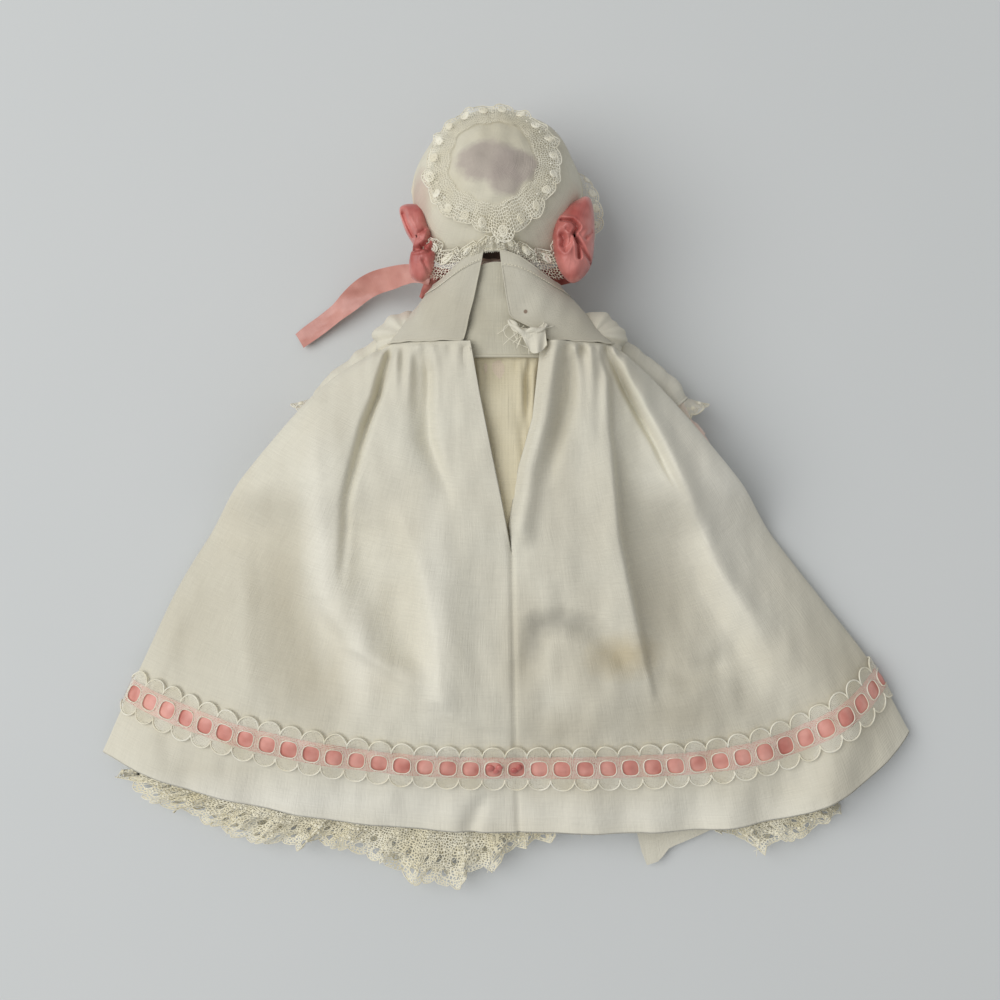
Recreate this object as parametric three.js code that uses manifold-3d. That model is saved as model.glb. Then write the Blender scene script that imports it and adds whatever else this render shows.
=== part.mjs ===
// A small baby doll in a christening gown, lying face down.
// Porcelain head, forearms and lower legs on a stuffed cloth body, with bonnet, gown and slip.
// +Z is up from the table and the head points to +Y. The doll lies on its front, so its own left side
// is on the left as seen from above, at -X.
import * as THREE from 'three';
import { mergeVertices } from 'three/addons/utils/BufferGeometryUtils.js';
import Module from 'manifold-3d';

const wasm = await Module();
wasm.setup();

// Cloth and clearances, in millimetres
const clothThickness = 0.9;
const layerGap = 1.1;
const laceThickness = 0.6;
const seamGap = 0.4;
const laceLift = 0.6;
const ribbonWidth = 6.4;
const ribbonThickness = 0.5;

// Head
const headRadius = 24.4;
const headX = -1;
const headY = 100;
const headWall = 2.2;
const noseHeight = 2.2;
const noseGap = 0.4;
const crownOpening = 11;
const neckRadius = 9;
const flangeRadius = 11;
const flangeLength = 4;
const neckLength = 37.5;
const neckFit = 0.4;
const eyeRadius = 4.4;
const eyeSpacing = 18;
const eyeDepth = 3.2;
const wigThickness = 0.8;
const wigGap = 0.8;

// Body
const torsoHalfWidth = 22;
const torsoHalfDepth = 16.8;
const torsoBottom = 3.5;
const torsoTop = 63;
const neckSleeveWall = 1.5;
const neckSleeveLength = 6;
const tieThickness = 1.2;

// Arms
const shoulderY = 57;
const shoulderHeight = 16.5;
const armEndRadius = 4.6;
const armSeat = 1.3;
const armDrop = 35;
const elbowBend = 20;
const upperArmLength = 36;
const forearmLength = 24;
const elbowHeight = 10.5;
const handHeight = 9.5;
const armStubRadius = 2.7;
const sleeveRadius = 7.4;
const sleeveStart = 9;
const sleeveEnd = 42;
const cuffLaceWidth = 6;

// Legs
const hipX = 11.5;
const hipEndRadius = 7;
const hipHeight = 15;
const thighLength = 24;
const shinLength = 20;
const footLength = 11;
const kneeHeight = 12.5;
const toeHeight = 6.5;
const legStubRadius = 3.6;
const kickAngle = 10;

// Bonnet
const bonnetThickness = 0.7;
const bonnetGap = 0.7;
const crownSeamAngle = 31;
const crownLaceAngle = 16;
const crownTilt = 6;
const napeEdgeAngle = 49;
const faceEdgeAngle = 92;
const napeLaceAngle = 8;
const brimLaceWidth = 9;
const sideFlare = 6.5;
const rosetteLength = 29;
const rosetteWidth = 17;
const rosetteDepth = 12;

// Gown and slip
const yokeHalfWidth = 38;
const collarRadius = 20.6;
const collarTip = 7.5;
const yokeSeamY = 51;
const hemY = -114;
const hemHeight = 16;
const hemEdgeHeight = 6;
const backSlitShare = 0.41;
const wingGap = 1.2;
const wingDepth = 4.5;
const armpitDip = 8;
const foldRoom = 3.4;
const slipShare = 0.74;
const slipSeamY = 46;
const slipHemShare = 0.94;
const laceFlare = 1.15;
const beadingTop = 0.8;
const beadingBottom = 0.9;
const beadingRoom = 2.4;

// Levels that follow from the sizes above
const layer = clothThickness + layerGap;
const bodyFront = 2 * layer;
const torsoZ = bodyFront + torsoHalfDepth;
const gownBack = bodyFront + 2 * torsoHalfDepth + 2 * layer;
const headZ = headRadius + noseHeight + noseGap;
const headCentre = new THREE.Vector3(headX, headY, headZ);
const neckBottom = headY - neckLength;
const wigOuter = headRadius + wigGap + wigThickness;
const bonnetInner = wigOuter + bonnetGap;
const bonnetOuter = bonnetInner + bonnetThickness;
const shoulderX = torsoHalfWidth + seamGap + armEndRadius - armSeat;
const hipY = torsoBottom - seamGap - hipEndRadius;
const sleevePuff = sleeveRadius + 0.6;
const trunkHalfWidth = torsoHalfWidth + 2 * layer;

const { lerp, smoothstep, degToRad, radToDeg, clamp } = THREE.MathUtils;
const at = (x, y, z) => new THREE.Vector3(x, y, z);
const steps = (count) => Array.from({ length: count + 1 }, (_, k) => k / count);

const doll = new THREE.Group();

function material(color, roughness, metalness = 0) {
  return new THREE.MeshStandardMaterial({ color, roughness, metalness, side: THREE.DoubleSide });
}

const porcelain = material(0xf1d9cb, 0.25);
const eyeGlass = material(0x3a5a78, 0.05);
const hair = material(0x4a2f22, 0.7);
const card = material(0x9a8468, 0.85);
const bodyCloth = material(0xe8dccb, 0.9);
const thread = material(0xd8d2c4, 0.7);
const gownCloth = material(0xd9d4c4, 0.9);
const slipCloth = material(0xd5cbae, 0.9);
const gownLace = material(0xe4e0cb, 0.85);
const slipLaceCotton = material(0xddd3ae, 0.85);
const satin = material(0xe08f86, 0.4);

function addPiece(name, geometry, finish) {
  const mesh = new THREE.Mesh(geometry, finish);
  mesh.name = name;
  doll.add(mesh);
}

// Closed solids from triangles

function signedVolume(corners) {
  let sum = 0;
  for (let k = 0; k < corners.length; k += 3) {
    sum += corners[k].dot(corners[k + 1].clone().cross(corners[k + 2]));
  }
  return sum / 6;
}

function closedGeometry(corners) {
  const inOrder = signedVolume(corners) > 0 ? corners : corners.slice().reverse();
  const geometry = new THREE.BufferGeometry().setFromPoints(inOrder);
  return mergeVertices(geometry, 1e-4);
}

function plainSolid(geometry) {
  geometry.deleteAttribute('normal');
  geometry.deleteAttribute('uv');
  return mergeVertices(geometry, 1e-4);
}

function addQuad(corners, a, b, c, d) {
  corners.push(a, b, c, a, c, d);
}

// A sheet of cloth between two grids of points. Rows from closedFrom on join into a ring.
function sheetSolid(outer, inner, closedFrom = Infinity) {
  const corners = [];
  const lastRow = outer.length - 1;
  const lastColumn = outer[0].length - 1;
  for (let j = 0; j < lastRow; j += 1) {
    for (let i = 0; i < lastColumn; i += 1) {
      addQuad(corners, outer[j][i], outer[j][i + 1], outer[j + 1][i + 1], outer[j + 1][i]);
      addQuad(corners, inner[j][i], inner[j + 1][i], inner[j + 1][i + 1], inner[j][i + 1]);
    }
    if (j < closedFrom) {
      addQuad(corners, outer[j][0], outer[j + 1][0], inner[j + 1][0], inner[j][0]);
      const [edge, lining] = [outer, inner].map((grid) => [grid[j][lastColumn], grid[j + 1][lastColumn]]);
      addQuad(corners, edge[0], lining[0], lining[1], edge[1]);
    }
  }
  for (let i = 0; i < lastColumn; i += 1) {
    addQuad(corners, outer[0][i], inner[0][i], inner[0][i + 1], outer[0][i + 1]);
    const [edge, lining] = [outer[lastRow], inner[lastRow]];
    addQuad(corners, edge[i], edge[i + 1], lining[i + 1], lining[i]);
  }
  return closedGeometry(corners);
}

// The grid moved along its normals, which point to the side that a positive distance goes to.
function offsetGrid(grid, distance, closedFrom = Infinity) {
  const lastRow = grid.length - 1;
  const lastColumn = grid[0].length - 1;
  const moved = grid.map((row, j) => row.map((corner, i) => {
    const ring = j >= closedFrom;
    const before = i > 0 ? i - 1 : (ring ? lastColumn - 1 : 0);
    const after = i < lastColumn ? i + 1 : (ring ? 1 : lastColumn);
    const along = row[after].clone().sub(row[before]);
    const down = grid[Math.min(j + 1, lastRow)][i].clone().sub(grid[Math.max(j - 1, 0)][i]);
    return corner.clone().addScaledVector(along.cross(down).normalize(), distance);
  }));
  moved.slice(closedFrom).forEach((row) => {
    row[0].lerp(row[lastColumn], 0.5);
    row[lastColumn].copy(row[0]);
  });
  return moved;
}

function clothSolid(grid, thickness, closedFrom = Infinity, lift = 0) {
  const near = lift ? offsetGrid(grid, lift, closedFrom) : grid;
  const far = offsetGrid(grid, lift + thickness, closedFrom);
  return sheetSolid(near, far, closedFrom);
}

// A stack of rings closed at both ends.
function loftSolid(rings) {
  const corners = [];
  const count = rings[0].length;
  for (let j = 0; j + 1 < rings.length; j += 1) {
    for (let i = 0; i < count; i += 1) {
      const next = (i + 1) % count;
      addQuad(corners, rings[j][i], rings[j][next], rings[j + 1][next], rings[j + 1][i]);
    }
  }
  const middle = (ring) => ring.reduce((sum, p) => sum.add(p), at(0, 0, 0)).divideScalar(count);
  const [first, last] = [rings[0], rings[rings.length - 1]];
  for (let i = 0; i < count; i += 1) {
    const next = (i + 1) % count;
    corners.push(middle(first), first[next], first[i]);
    corners.push(middle(last), last[i], last[next]);
  }
  return closedGeometry(corners);
}

function power(value, exponent) {
  return Math.sign(value) * Math.abs(value) ** exponent;
}

// Rings square to a line of stations, each with its centre, half width and half height.
function limbRings(stations, sides) {
  return stations.map(({ centre, halfWidth, halfHeight }, k) => {
    const before = stations[Math.max(k - 1, 0)].centre;
    const after = stations[Math.min(k + 1, stations.length - 1)].centre;
    const along = after.clone().sub(before).normalize();
    const across = along.clone().cross(at(0, 0, 1)).normalize();
    const up = across.clone().cross(along);
    return steps(sides).slice(0, sides).map((share) => {
      const turn = 2 * Math.PI * share;
      return centre.clone()
        .addScaledVector(across, halfWidth * Math.cos(turn))
        .addScaledVector(up, halfHeight * Math.sin(turn));
    });
  });
}

function closeRing(rings) {
  return rings.map((ring) => [...ring, ring[0].clone()]);
}

function solidOf(geometry) {
  const vertProperties = Float32Array.from(geometry.attributes.position.array);
  const triVerts = Uint32Array.from(geometry.index.array);
  return new wasm.Manifold(new wasm.Mesh({ numProp: 3, vertProperties, triVerts }));
}

function geometryOf(solid) {
  const mesh = solid.getMesh();
  const geometry = new THREE.BufferGeometry();
  geometry.setAttribute('position', new THREE.BufferAttribute(mesh.vertProperties, mesh.numProp));
  geometry.setIndex(new THREE.BufferAttribute(mesh.triVerts, 1));
  return geometry;
}

function cut(geometry, ...cutters) {
  return geometryOf(cutters.reduce((solid, cutter) => solid.subtract(solidOf(cutter)), solidOf(geometry)));
}

// A round patch of a ball as a square grid drawn out to a circle.
function patchGrid(count, place) {
  return steps(count).map((rowShare) => steps(count).map((columnShare) => {
    const [a, b] = [2 * columnShare - 1, 2 * rowShare - 1];
    const x = a * Math.sqrt(1 - (b * b) / 2);
    const y = b * Math.sqrt(1 - (a * a) / 2);
    return place(Math.hypot(x, y), Math.atan2(y, x));
  }));
}

// Head: directions count from the crown (+Y) and round from the back of the head (+Z)

function bump(value, centre, width) {
  return Math.exp(-(((value - centre) / width) ** 2));
}

function headSurface(fromCrown, round) {
  const fromFace = Math.abs(Math.abs(round) - 180);
  const nose = noseHeight * bump(fromCrown, 97, 9) * bump(fromFace, 0, 9);
  const cheeks = 1.2 * bump(fromCrown, 114, 17) * bump(fromFace, 36, 18);
  const chin = 1.1 * bump(fromCrown, 138, 10) * bump(fromFace, 0, 16);
  return headRadius + nose + cheeks + chin;
}

function headPoint(radius, fromCrown, round) {
  const [crown, turn] = [degToRad(fromCrown), degToRad(round)];
  const across = radius * Math.sin(crown);
  const away = at(across * Math.sin(turn), radius * Math.cos(crown), across * Math.cos(turn));
  return away.add(headCentre);
}

function neckRing(radius, y, rounds) {
  return rounds.map((round) => {
    const turn = degToRad(round);
    return at(headX + radius * Math.sin(turn), y, headZ + radius * Math.cos(turn));
  });
}

function makeHead() {
  const rounds = steps(20).map((share) => 360 * share - 180);
  const first = radToDeg(Math.asin(crownOpening / headRadius));
  const last = 180 - radToDeg(Math.asin(neckRadius / headRadius));
  const rows = steps(9).map((share) => lerp(first, last, share));
  const skull = rows.map((row) => rounds.map((round) => headPoint(headSurface(row, round), row, round)));
  const lining = rows.map((row) => rounds.map((round) => {
    return headPoint(headSurface(row, round) - headWall, row, round);
  }));
  const bore = neckRadius - headWall;
  const outer = [
    ...skull,
    neckRing(neckRadius, neckBottom, rounds),
    neckRing(flangeRadius, neckBottom - 0.5, rounds),
    neckRing(flangeRadius, neckBottom - flangeLength, rounds),
  ];
  const inner = [
    ...lining,
    neckRing(bore, neckBottom, rounds),
    neckRing(bore, neckBottom - 0.5, rounds),
    neckRing(bore, neckBottom - flangeLength, rounds),
  ];
  const shell = sheetSolid(outer, inner, 0);
  const sockets = eyeCentres().map((centre) => ball(eyeRadius + seamGap, centre));
  return cut(shell, ...sockets);
}

function eyeCentres() {
  const aside = eyeSpacing / 2;
  const depth = Math.sqrt((headRadius - eyeDepth) ** 2 - aside ** 2);
  return [-aside, aside].map((x) => headCentre.clone().add(at(x, 1, -depth)));
}

function ball(radius, centre) {
  return plainSolid(new THREE.SphereGeometry(radius, 12, 8)).translate(centre.x, centre.y, centre.z);
}

function makePate() {
  const edge = radToDeg(Math.asin((crownOpening - seamGap) / headRadius));
  const place = (radius) => patchGrid(4, (share, turn) => {
    return headPoint(radius, edge * share, radToDeg(turn));
  });
  return sheetSolid(place(headRadius), place(headRadius - headWall + seamGap));
}

// Bonnet: directions count from the back of the head (+Z) and round from the nape (-Y) to +X

function bonnetFlare(fromBack, round) {
  const side = Math.abs(round);
  return sideFlare * bump(side, 42, 18) * smoothstep(fromBack, 52, 82) * (1 - smoothstep(fromBack, 90, 125));
}

function bonnetEdge(round) {
  return lerp(napeEdgeAngle, faceEdgeAngle, smoothstep(Math.abs(round), 4, 56));
}

function backPoint(radius, fromBack, round) {
  const [tilt, turn] = [degToRad(fromBack), degToRad(round)];
  const across = radius * Math.sin(tilt);
  const away = at(across * Math.sin(turn), -across * Math.cos(turn), radius * Math.cos(tilt));
  return away.add(headCentre);
}

function bonnetPoint(lift, fromBack, round) {
  return backPoint(bonnetOuter + lift + bonnetFlare(fromBack, round), fromBack, round);
}

function makeWig() {
  const reach = (round) => lerp(napeEdgeAngle + 14, 84, smoothstep(Math.abs(round), 20, 80));
  const place = (radius) => patchGrid(10, (share, turn) => {
    const round = radToDeg(turn);
    return backPoint(radius, reach(round) * share, round);
  });
  return sheetSolid(place(wigOuter), place(headRadius + wigGap));
}

// The crown patch sits a little towards the top of the head.
function crownDirection(fromBack, round) {
  const away = backPoint(1, fromBack, round).sub(headCentre);
  return away.applyAxisAngle(at(1, 0, 0), -degToRad(crownTilt));
}

function bonnetPlace(direction, lift) {
  const unit = direction.clone().normalize();
  const fromBack = radToDeg(Math.acos(clamp(unit.z, -1, 1)));
  const round = radToDeg(Math.atan2(unit.x, -unit.y));
  return bonnetPoint(lift, fromBack, round);
}

function makeBonnetCrown() {
  const place = (lift) => patchGrid(6, (share, turn) => {
    return bonnetPlace(crownDirection(crownSeamAngle * share, radToDeg(turn)), lift);
  });
  return sheetSolid(place(0), place(-bonnetThickness));
}

function bonnetRounds(count) {
  return steps(count).map((share) => 360 * share - 180);
}

function makeBonnetBand() {
  const seam = crownSeamAngle + radToDeg(seamGap / bonnetOuter);
  const place = (lift) => steps(5).map((share) => bonnetRounds(28).map((round) => {
    const edge = backPoint(1, bonnetEdge(round), round).sub(headCentre);
    return bonnetPlace(crownDirection(seam, round).lerp(edge, share), lift);
  }));
  return sheetSolid(place(0), place(-bonnetThickness), 0);
}

function ruffle(round, waves, depth) {
  return depth * (1 + Math.cos(degToRad(round) * waves));
}

function makeCrownLace() {
  const place = (lift) => [0, 1].map((share) => bonnetRounds(40).map((round) => {
    const direction = crownDirection(crownSeamAngle - 2 + crownLaceAngle * share, round);
    return bonnetPlace(direction, laceLift + lift + share * ruffle(round, 10, 0.6));
  }));
  return sheetSolid(place(laceThickness), place(0), 0);
}

function makeNapeLace() {
  const rounds = steps(18).map((share) => lerp(-50, 50, share));
  const place = (lift) => [0, 1].map((share) => rounds.map((round) => {
    const fromBack = bonnetEdge(round) - 0.5 - napeLaceAngle * share;
    return bonnetPoint(laceLift + lift, fromBack, round);
  }));
  return sheetSolid(place(laceThickness), place(0));
}

// The brim lace stands out at the right cheek and folds down to the table elsewhere.
function makeBrimLace() {
  const rounds = steps(32).map((share) => lerp(78, 268, share));
  const edge = faceEdgeAngle + radToDeg(seamGap / bonnetOuter);
  const grid = [0, 1].map((share) => rounds.map((round) => {
    const turn = degToRad(round);
    const fold = degToRad(lerp(18, 76, smoothstep(round, 95, 150)));
    const out = at(Math.sin(turn) * Math.cos(fold), -Math.cos(turn) * Math.cos(fold), -Math.sin(fold));
    const wave = share * 0.8 * Math.cos(turn * 14);
    return backPoint(bonnetOuter - bonnetThickness / 2 + wave, edge, round)
      .addScaledVector(out, brimLaceWidth * share);
  }));
  return clothSolid(grid, laceThickness);
}

// Bows of folded ribbon on the bonnet's sides, hollowed where the bonnet lies under them

function bonnetForm(clearance) {
  const form = plainSolid(new THREE.SphereGeometry(1, 36, 24));
  const corner = at(0, 0, 0);
  const places = form.attributes.position;
  for (let k = 0; k < places.count; k += 1) {
    corner.fromBufferAttribute(places, k);
    const fromBack = radToDeg(Math.acos(clamp(corner.z, -1, 1)));
    const round = radToDeg(Math.atan2(corner.x, -corner.y));
    const placed = bonnetPoint(clearance, fromBack, round);
    places.setXYZ(k, placed.x, placed.y, placed.z);
  }
  return form;
}

function rosetteForm(centre, growth) {
  const form = plainSolid(new THREE.SphereGeometry(1, 14, 10));
  const corner = at(0, 0, 0);
  const places = form.attributes.position;
  for (let k = 0; k < places.count; k += 1) {
    corner.fromBufferAttribute(places, k);
    const petals = 1 + 0.09 * Math.cos(5 * Math.atan2(corner.y, corner.z)) * (1 - Math.abs(corner.x));
    places.setXYZ(
      k,
      centre.x + corner.x * petals * (rosetteDepth / 2 + growth),
      centre.y + corner.y * petals * (rosetteLength / 2 + growth),
      centre.z + corner.z * petals * (rosetteWidth / 2 + growth),
    );
  }
  return form;
}

const rosetteOut = bonnetOuter - 0.4;
const rosetteCentres = [
  headCentre.clone().add(at(-rosetteOut, -17, 2)),
  headCentre.clone().add(at(rosetteOut, -15, 7)),
];
const rosetteCutters = rosetteCentres.map((centre) => rosetteForm(centre, seamGap));

// Flat ribbon along a line of points, with its width along the given direction at each point
function ribbonSolid(points, widthways) {
  const line = new THREE.CatmullRomCurve3(points);
  const ways = new THREE.CatmullRomCurve3(widthways);
  const grid = steps(16).map((share) => {
    const middle = line.getPoint(share);
    const half = ways.getPoint(share).normalize().multiplyScalar(ribbonWidth / 2);
    return [middle.clone().sub(half), middle.clone(), middle.clone().add(half)];
  });
  return clothSolid(grid, ribbonThickness);
}

function makeChinRibbon() {
  const under = headY - bonnetOuter + 1.7;
  const reach = neckRadius + 7;
  const points = [
    at(rosetteCentres[0].x + 1, under + 1, headZ - 4),
    at(headX - reach, under, headZ - 9),
    at(headX, under - 0.5, headZ - reach),
    at(headX + reach, under, headZ - 9),
    at(rosetteCentres[1].x - 1, under + 1, headZ - 2),
  ];
  const ribbon = ribbonSolid(points, points.map(() => at(0, 1, 0)));
  return cut(ribbon, ...rosetteCutters);
}

function makeRibbonTail() {
  const start = rosetteCentres[0];
  const points = [
    at(start.x - 0.5, start.y - 8, start.z - 5),
    at(-36, 75.5, 14),
    at(-46, 73, 8),
    at(-58, 64, 3.2),
    at(-70, 55.5, 1.2),
  ];
  const widthways = [at(0.2, 1, -0.5), at(0.3, 1, 0.6), at(0.5, 1, 0.5), at(0.6, 0.8, 0.1), at(0.6, 0.8, 0)];
  return cut(ribbonSolid(points, widthways), rosetteCutters[0]);
}

// Stuffed cloth body with a pocket for the flange of the neck

function torsoRing(y, halfWidth, halfDepth, z, x, fullness = 0.9) {
  return steps(20).slice(0, 20).map((share) => {
    const turn = 2 * Math.PI * share;
    const [aside, height] = [power(Math.sin(turn), fullness), power(Math.cos(turn), fullness)];
    return at(x + halfWidth * aside, y, z + halfDepth * height);
  });
}

function makeTorso() {
  const sleeve = neckRadius + neckFit + neckSleeveWall;
  const rise = (share) => lerp(torsoBottom, torsoTop, share);
  const [wide, deep] = [torsoHalfWidth, torsoHalfDepth];
  const neckZ = (share) => lerp(torsoZ, headZ, share);
  const body = loftSolid([
    torsoRing(torsoBottom, wide * 0.6, deep * 0.6, torsoZ, 0),
    torsoRing(rise(0.06), wide * 0.82, deep * 0.82, torsoZ, 0),
    torsoRing(rise(0.2), wide * 0.95, deep * 0.95, torsoZ, 0),
    torsoRing(rise(0.42), wide * 0.98, deep, torsoZ, 0),
    torsoRing(rise(0.7), wide * 0.97, deep * 0.98, torsoZ, 0),
    torsoRing(rise(0.87), wide, deep * 0.93, neckZ(0.2), 0),
    torsoRing(rise(0.95), wide * 0.92, deep * 0.86, neckZ(0.6), headX * 0.5),
    torsoRing(torsoTop, sleeve + 1, sleeve + 0.6, neckZ(0.92), headX, 1),
    torsoRing(torsoTop + 1.6, sleeve, sleeve, headZ, headX, 1),
    torsoRing(torsoTop + neckSleeveLength, sleeve, sleeve, headZ, headX, 1),
  ]);
  const flangeTop = neckBottom + neckFit;
  const flangeEnd = neckBottom - flangeLength - neckFit;
  const wideBore = flangeRadius + neckFit;
  const narrowBore = neckRadius + neckFit;
  const above = torsoTop + neckSleeveLength + 1;
  const profile = [
    [0, flangeEnd], [wideBore, flangeEnd], [wideBore, flangeTop],
    [narrowBore, flangeTop], [narrowBore, above], [0, above],
  ].map(([radius, y]) => new THREE.Vector2(radius, y));
  const pocket = plainSolid(new THREE.LatheGeometry(profile, 20)).translate(headX, 0, headZ);
  return cut(body, pocket);
}

function ringBand(radius, tube, centre, along) {
  const band = plainSolid(new THREE.TorusGeometry(radius, tube, 5, 20));
  band.applyQuaternion(new THREE.Quaternion().setFromUnitVectors(at(0, 0, 1), along));
  return band.translate(centre.x, centre.y, centre.z);
}

function makeNeckTie() {
  const radius = neckRadius + neckFit + neckSleeveWall + seamGap + tieThickness / 2;
  const centre = at(headX, torsoTop + 1.6 + (neckSleeveLength - 1.6) / 2, headZ);
  return ringBand(radius, tieThickness / 2, centre, at(0, 1, 0));
}

// Arms: side is -1 for the left of the picture and 1 for the right

function armPoint(side, distance) {
  const straight = Math.min(distance, upperArmLength);
  const past = Math.max(distance - upperArmLength, 0);
  const [drop, bent] = [degToRad(armDrop), degToRad(armDrop + elbowBend)];
  const x = shoulderX + straight * Math.cos(drop) + past * Math.cos(bent);
  const y = shoulderY - straight * Math.sin(drop) - past * Math.sin(bent);
  const z = distance < upperArmLength
    ? lerp(shoulderHeight, elbowHeight, Math.max(straight, 0) / upperArmLength)
    : lerp(elbowHeight, handHeight, past / forearmLength);
  return at(side * x, y, z);
}

function armStations(side, list) {
  return list.map(([distance, halfWidth, halfHeight]) => {
    return { centre: armPoint(side, distance), halfWidth, halfHeight: halfHeight ?? halfWidth };
  });
}

const armWrist = upperArmLength - 2;

function makeUpperArm(side) {
  const tip = armEndRadius;
  const stations = [
    [-tip * 0.94, tip * 0.35], [-tip * 0.7, tip * 0.72], [0, tip], [8, 5.2], [18, 5.6],
    [armWrist - 7, 5.2], [armWrist - 4, armStubRadius + 1.6], [armWrist - 2, armStubRadius + 1.6],
    [armWrist, armStubRadius + 1.9],
  ];
  const arm = loftSolid(limbRings(armStations(side, stations), 12));
  const bore = armStubRadius + seamGap;
  const pocket = loftSolid(limbRings(armStations(side, [[armWrist - 6, bore], [armWrist + 0.9, bore]]), 12));
  return cut(arm, pocket);
}

function makeForearm(side) {
  const hand = upperArmLength + forearmLength;
  return loftSolid(limbRings(armStations(side, [
    [armWrist - 5.5, armStubRadius], [armWrist + seamGap - 0.1, armStubRadius],
    [armWrist + seamGap, armStubRadius + 1.9], [armWrist + seamGap + 1, armStubRadius + 2],
    [armWrist + 5, 4.8], [hand - 15, 4.2], [hand - 11, 3.5], [hand - 8, 4.6, 3], [hand - 4, 5, 2.7],
    [hand - 1, 3.9, 2.2], [hand, 2, 1.2],
  ]), 12));
}

function makeArmTie(side) {
  const centre = armPoint(side, armWrist - 3);
  const along = armPoint(side, armWrist - 2).sub(centre).normalize();
  return ringBand(armStubRadius + 1.6 + seamGap + tieThickness / 2, tieThickness / 2, centre, along);
}

function sleeveStations(side) {
  return armStations(side, [
    [sleeveStart, sleeveRadius - 0.4], [sleeveStart + 6, sleevePuff], [sleeveStart + 14, sleevePuff],
    [sleeveEnd - 12, sleeveRadius], [sleeveEnd - 5, sleeveRadius - 0.6], [sleeveEnd, sleeveRadius - 1],
  ]);
}

function makeSleeve(side) {
  const grid = closeRing(limbRings(sleeveStations(side), 12));
  return clothSolid(grid, clothThickness, 0);
}

function makeCuffLace(side) {
  const start = sleeveEnd + seamGap;
  const stations = armStations(side, [
    [start, sleeveRadius - 1], [start + cuffLaceWidth / 2, sleeveRadius + 2, sleeveRadius],
    [start + cuffLaceWidth, sleeveRadius + 4, sleeveRadius + 0.3],
  ]);
  const grid = closeRing(limbRings(stations, 16));
  return clothSolid(grid, laceThickness, 0);
}

// Legs

function legPoint(side, distance) {
  const knee = thighLength;
  const ankle = knee + shinLength;
  const toe = ankle + footLength;
  const height = distance < knee
    ? lerp(hipHeight, kneeHeight, Math.max(distance, 0) / knee)
    : distance < ankle
      ? lerp(kneeHeight, kneeHeight - 1, (distance - knee) / shinLength)
      : lerp(kneeHeight - 1, toeHeight, (distance - ankle) / (toe - ankle));
  return at(side * (hipX + distance * 0.055), hipY - distance, height);
}

function legStations(side, list) {
  return list.map(([distance, halfWidth, halfHeight]) => {
    return { centre: legPoint(side, distance), halfWidth, halfHeight: halfHeight ?? halfWidth };
  });
}

const legEnd = thighLength - 3;

function makeThigh(side) {
  const tip = hipEndRadius;
  const end = legEnd;
  const thigh = loftSolid(limbRings(legStations(side, [
    [-tip * 0.94, tip * 0.35], [-tip * 0.7, tip * 0.72], [0, tip], [8, tip + 1.1], [end - 8, tip + 0.2],
    [end - 4, legStubRadius + 1.8], [end - 2, legStubRadius + 1.8], [end, legStubRadius + 2.1],
  ]), 12));
  const bore = legStubRadius + seamGap;
  const pocket = loftSolid(limbRings(legStations(side, [[end - 6, bore], [end + 0.9, bore]]), 12));
  return cut(thigh, pocket);
}

function makeShin(side) {
  const end = legEnd;
  const ankle = thighLength + shinLength;
  const toe = ankle + footLength;
  return loftSolid(limbRings(legStations(side, [
    [end - 5.5, legStubRadius], [end + seamGap - 0.1, legStubRadius],
    [end + seamGap, legStubRadius + 2.1], [end + seamGap + 1.2, legStubRadius + 2.3],
    [end + 8, 6.3], [ankle - 5, 5], [ankle, 4.6, 5.2], [ankle + 4, 4.8, 4.6], [toe - 3, 5.2, 3.2],
    [toe, 3, 1.8],
  ]), 12));
}

function makeLegTie(side) {
  const centre = legPoint(side, legEnd - 3);
  const along = legPoint(side, legEnd - 2).sub(centre).normalize();
  return ringBand(legStubRadius + 1.8 + seamGap + tieThickness / 2, tieThickness / 2, centre, along);
}

// Yoke and slip bodice: rings round the chest, counted round from the back (+Z) to +X.
// Share 0 is the neckline and share 1 the waist seam.

function bodicePoint(cutOf, round, share) {
  const turn = degToRad(round);
  const back = Math.max(Math.cos(turn), 0);
  const front = Math.max(-Math.cos(turn), 0);
  const neckY = cutOf.neckY + cutOf.tip * back ** 4 - 4 * front ** 1.5;
  const spread = share ** cutOf.swell;
  const halfWidth = lerp(cutOf.neckRadius, cutOf.halfWidth, spread);
  const fill = lerp(share, share ** 0.35, front ** 0.7);
  const halfDepth = lerp(cutOf.neckDepth, cutOf.halfDepth, fill);
  const roundness = 2 / lerp(2, 2.8, share);
  return at(
    lerp(headX, 0, share) + halfWidth * power(Math.sin(turn), roundness),
    lerp(neckY, cutOf.seamY - cutOf.frontDrop * Math.min(1.5 * front, 1), share),
    lerp(headZ, cutOf.centreZ, fill) + halfDepth * power(Math.cos(turn), roundness),
  );
}

const yokeFront = 1;
const yokeCut = {
  neckY: headY - bonnetOuter - 2.7,
  tip: collarTip,
  neckRadius: collarRadius,
  neckDepth: collarRadius - 2.1,
  halfWidth: yokeHalfWidth,
  halfDepth: (gownBack - yokeFront) / 2,
  centreZ: (gownBack + yokeFront) / 2,
  seamY: yokeSeamY,
  frontDrop: armpitDip - seamGap,
  swell: 1,
};

const slipFront = yokeFront + clothThickness + 1.5 * seamGap;
const slipBack = gownBack - layer;
const slipCut = {
  neckY: yokeCut.neckY,
  tip: 5.5,
  neckRadius: collarRadius - 4.4,
  neckDepth: collarRadius - 4.6,
  halfWidth: torsoHalfWidth + layer,
  halfDepth: (slipBack - slipFront) / 2,
  centreZ: (slipBack + slipFront) / 2,
  seamY: slipSeamY,
  frontDrop: 0,
  swell: 0.45,
};

function bodicePanel(cutOf, from, to, columns) {
  const grid = steps(5).map((share) => steps(columns).map((across) => {
    return bodicePoint(cutOf, lerp(from(share), to(share), across), share);
  }));
  return clothSolid(grid, clothThickness);
}

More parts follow.
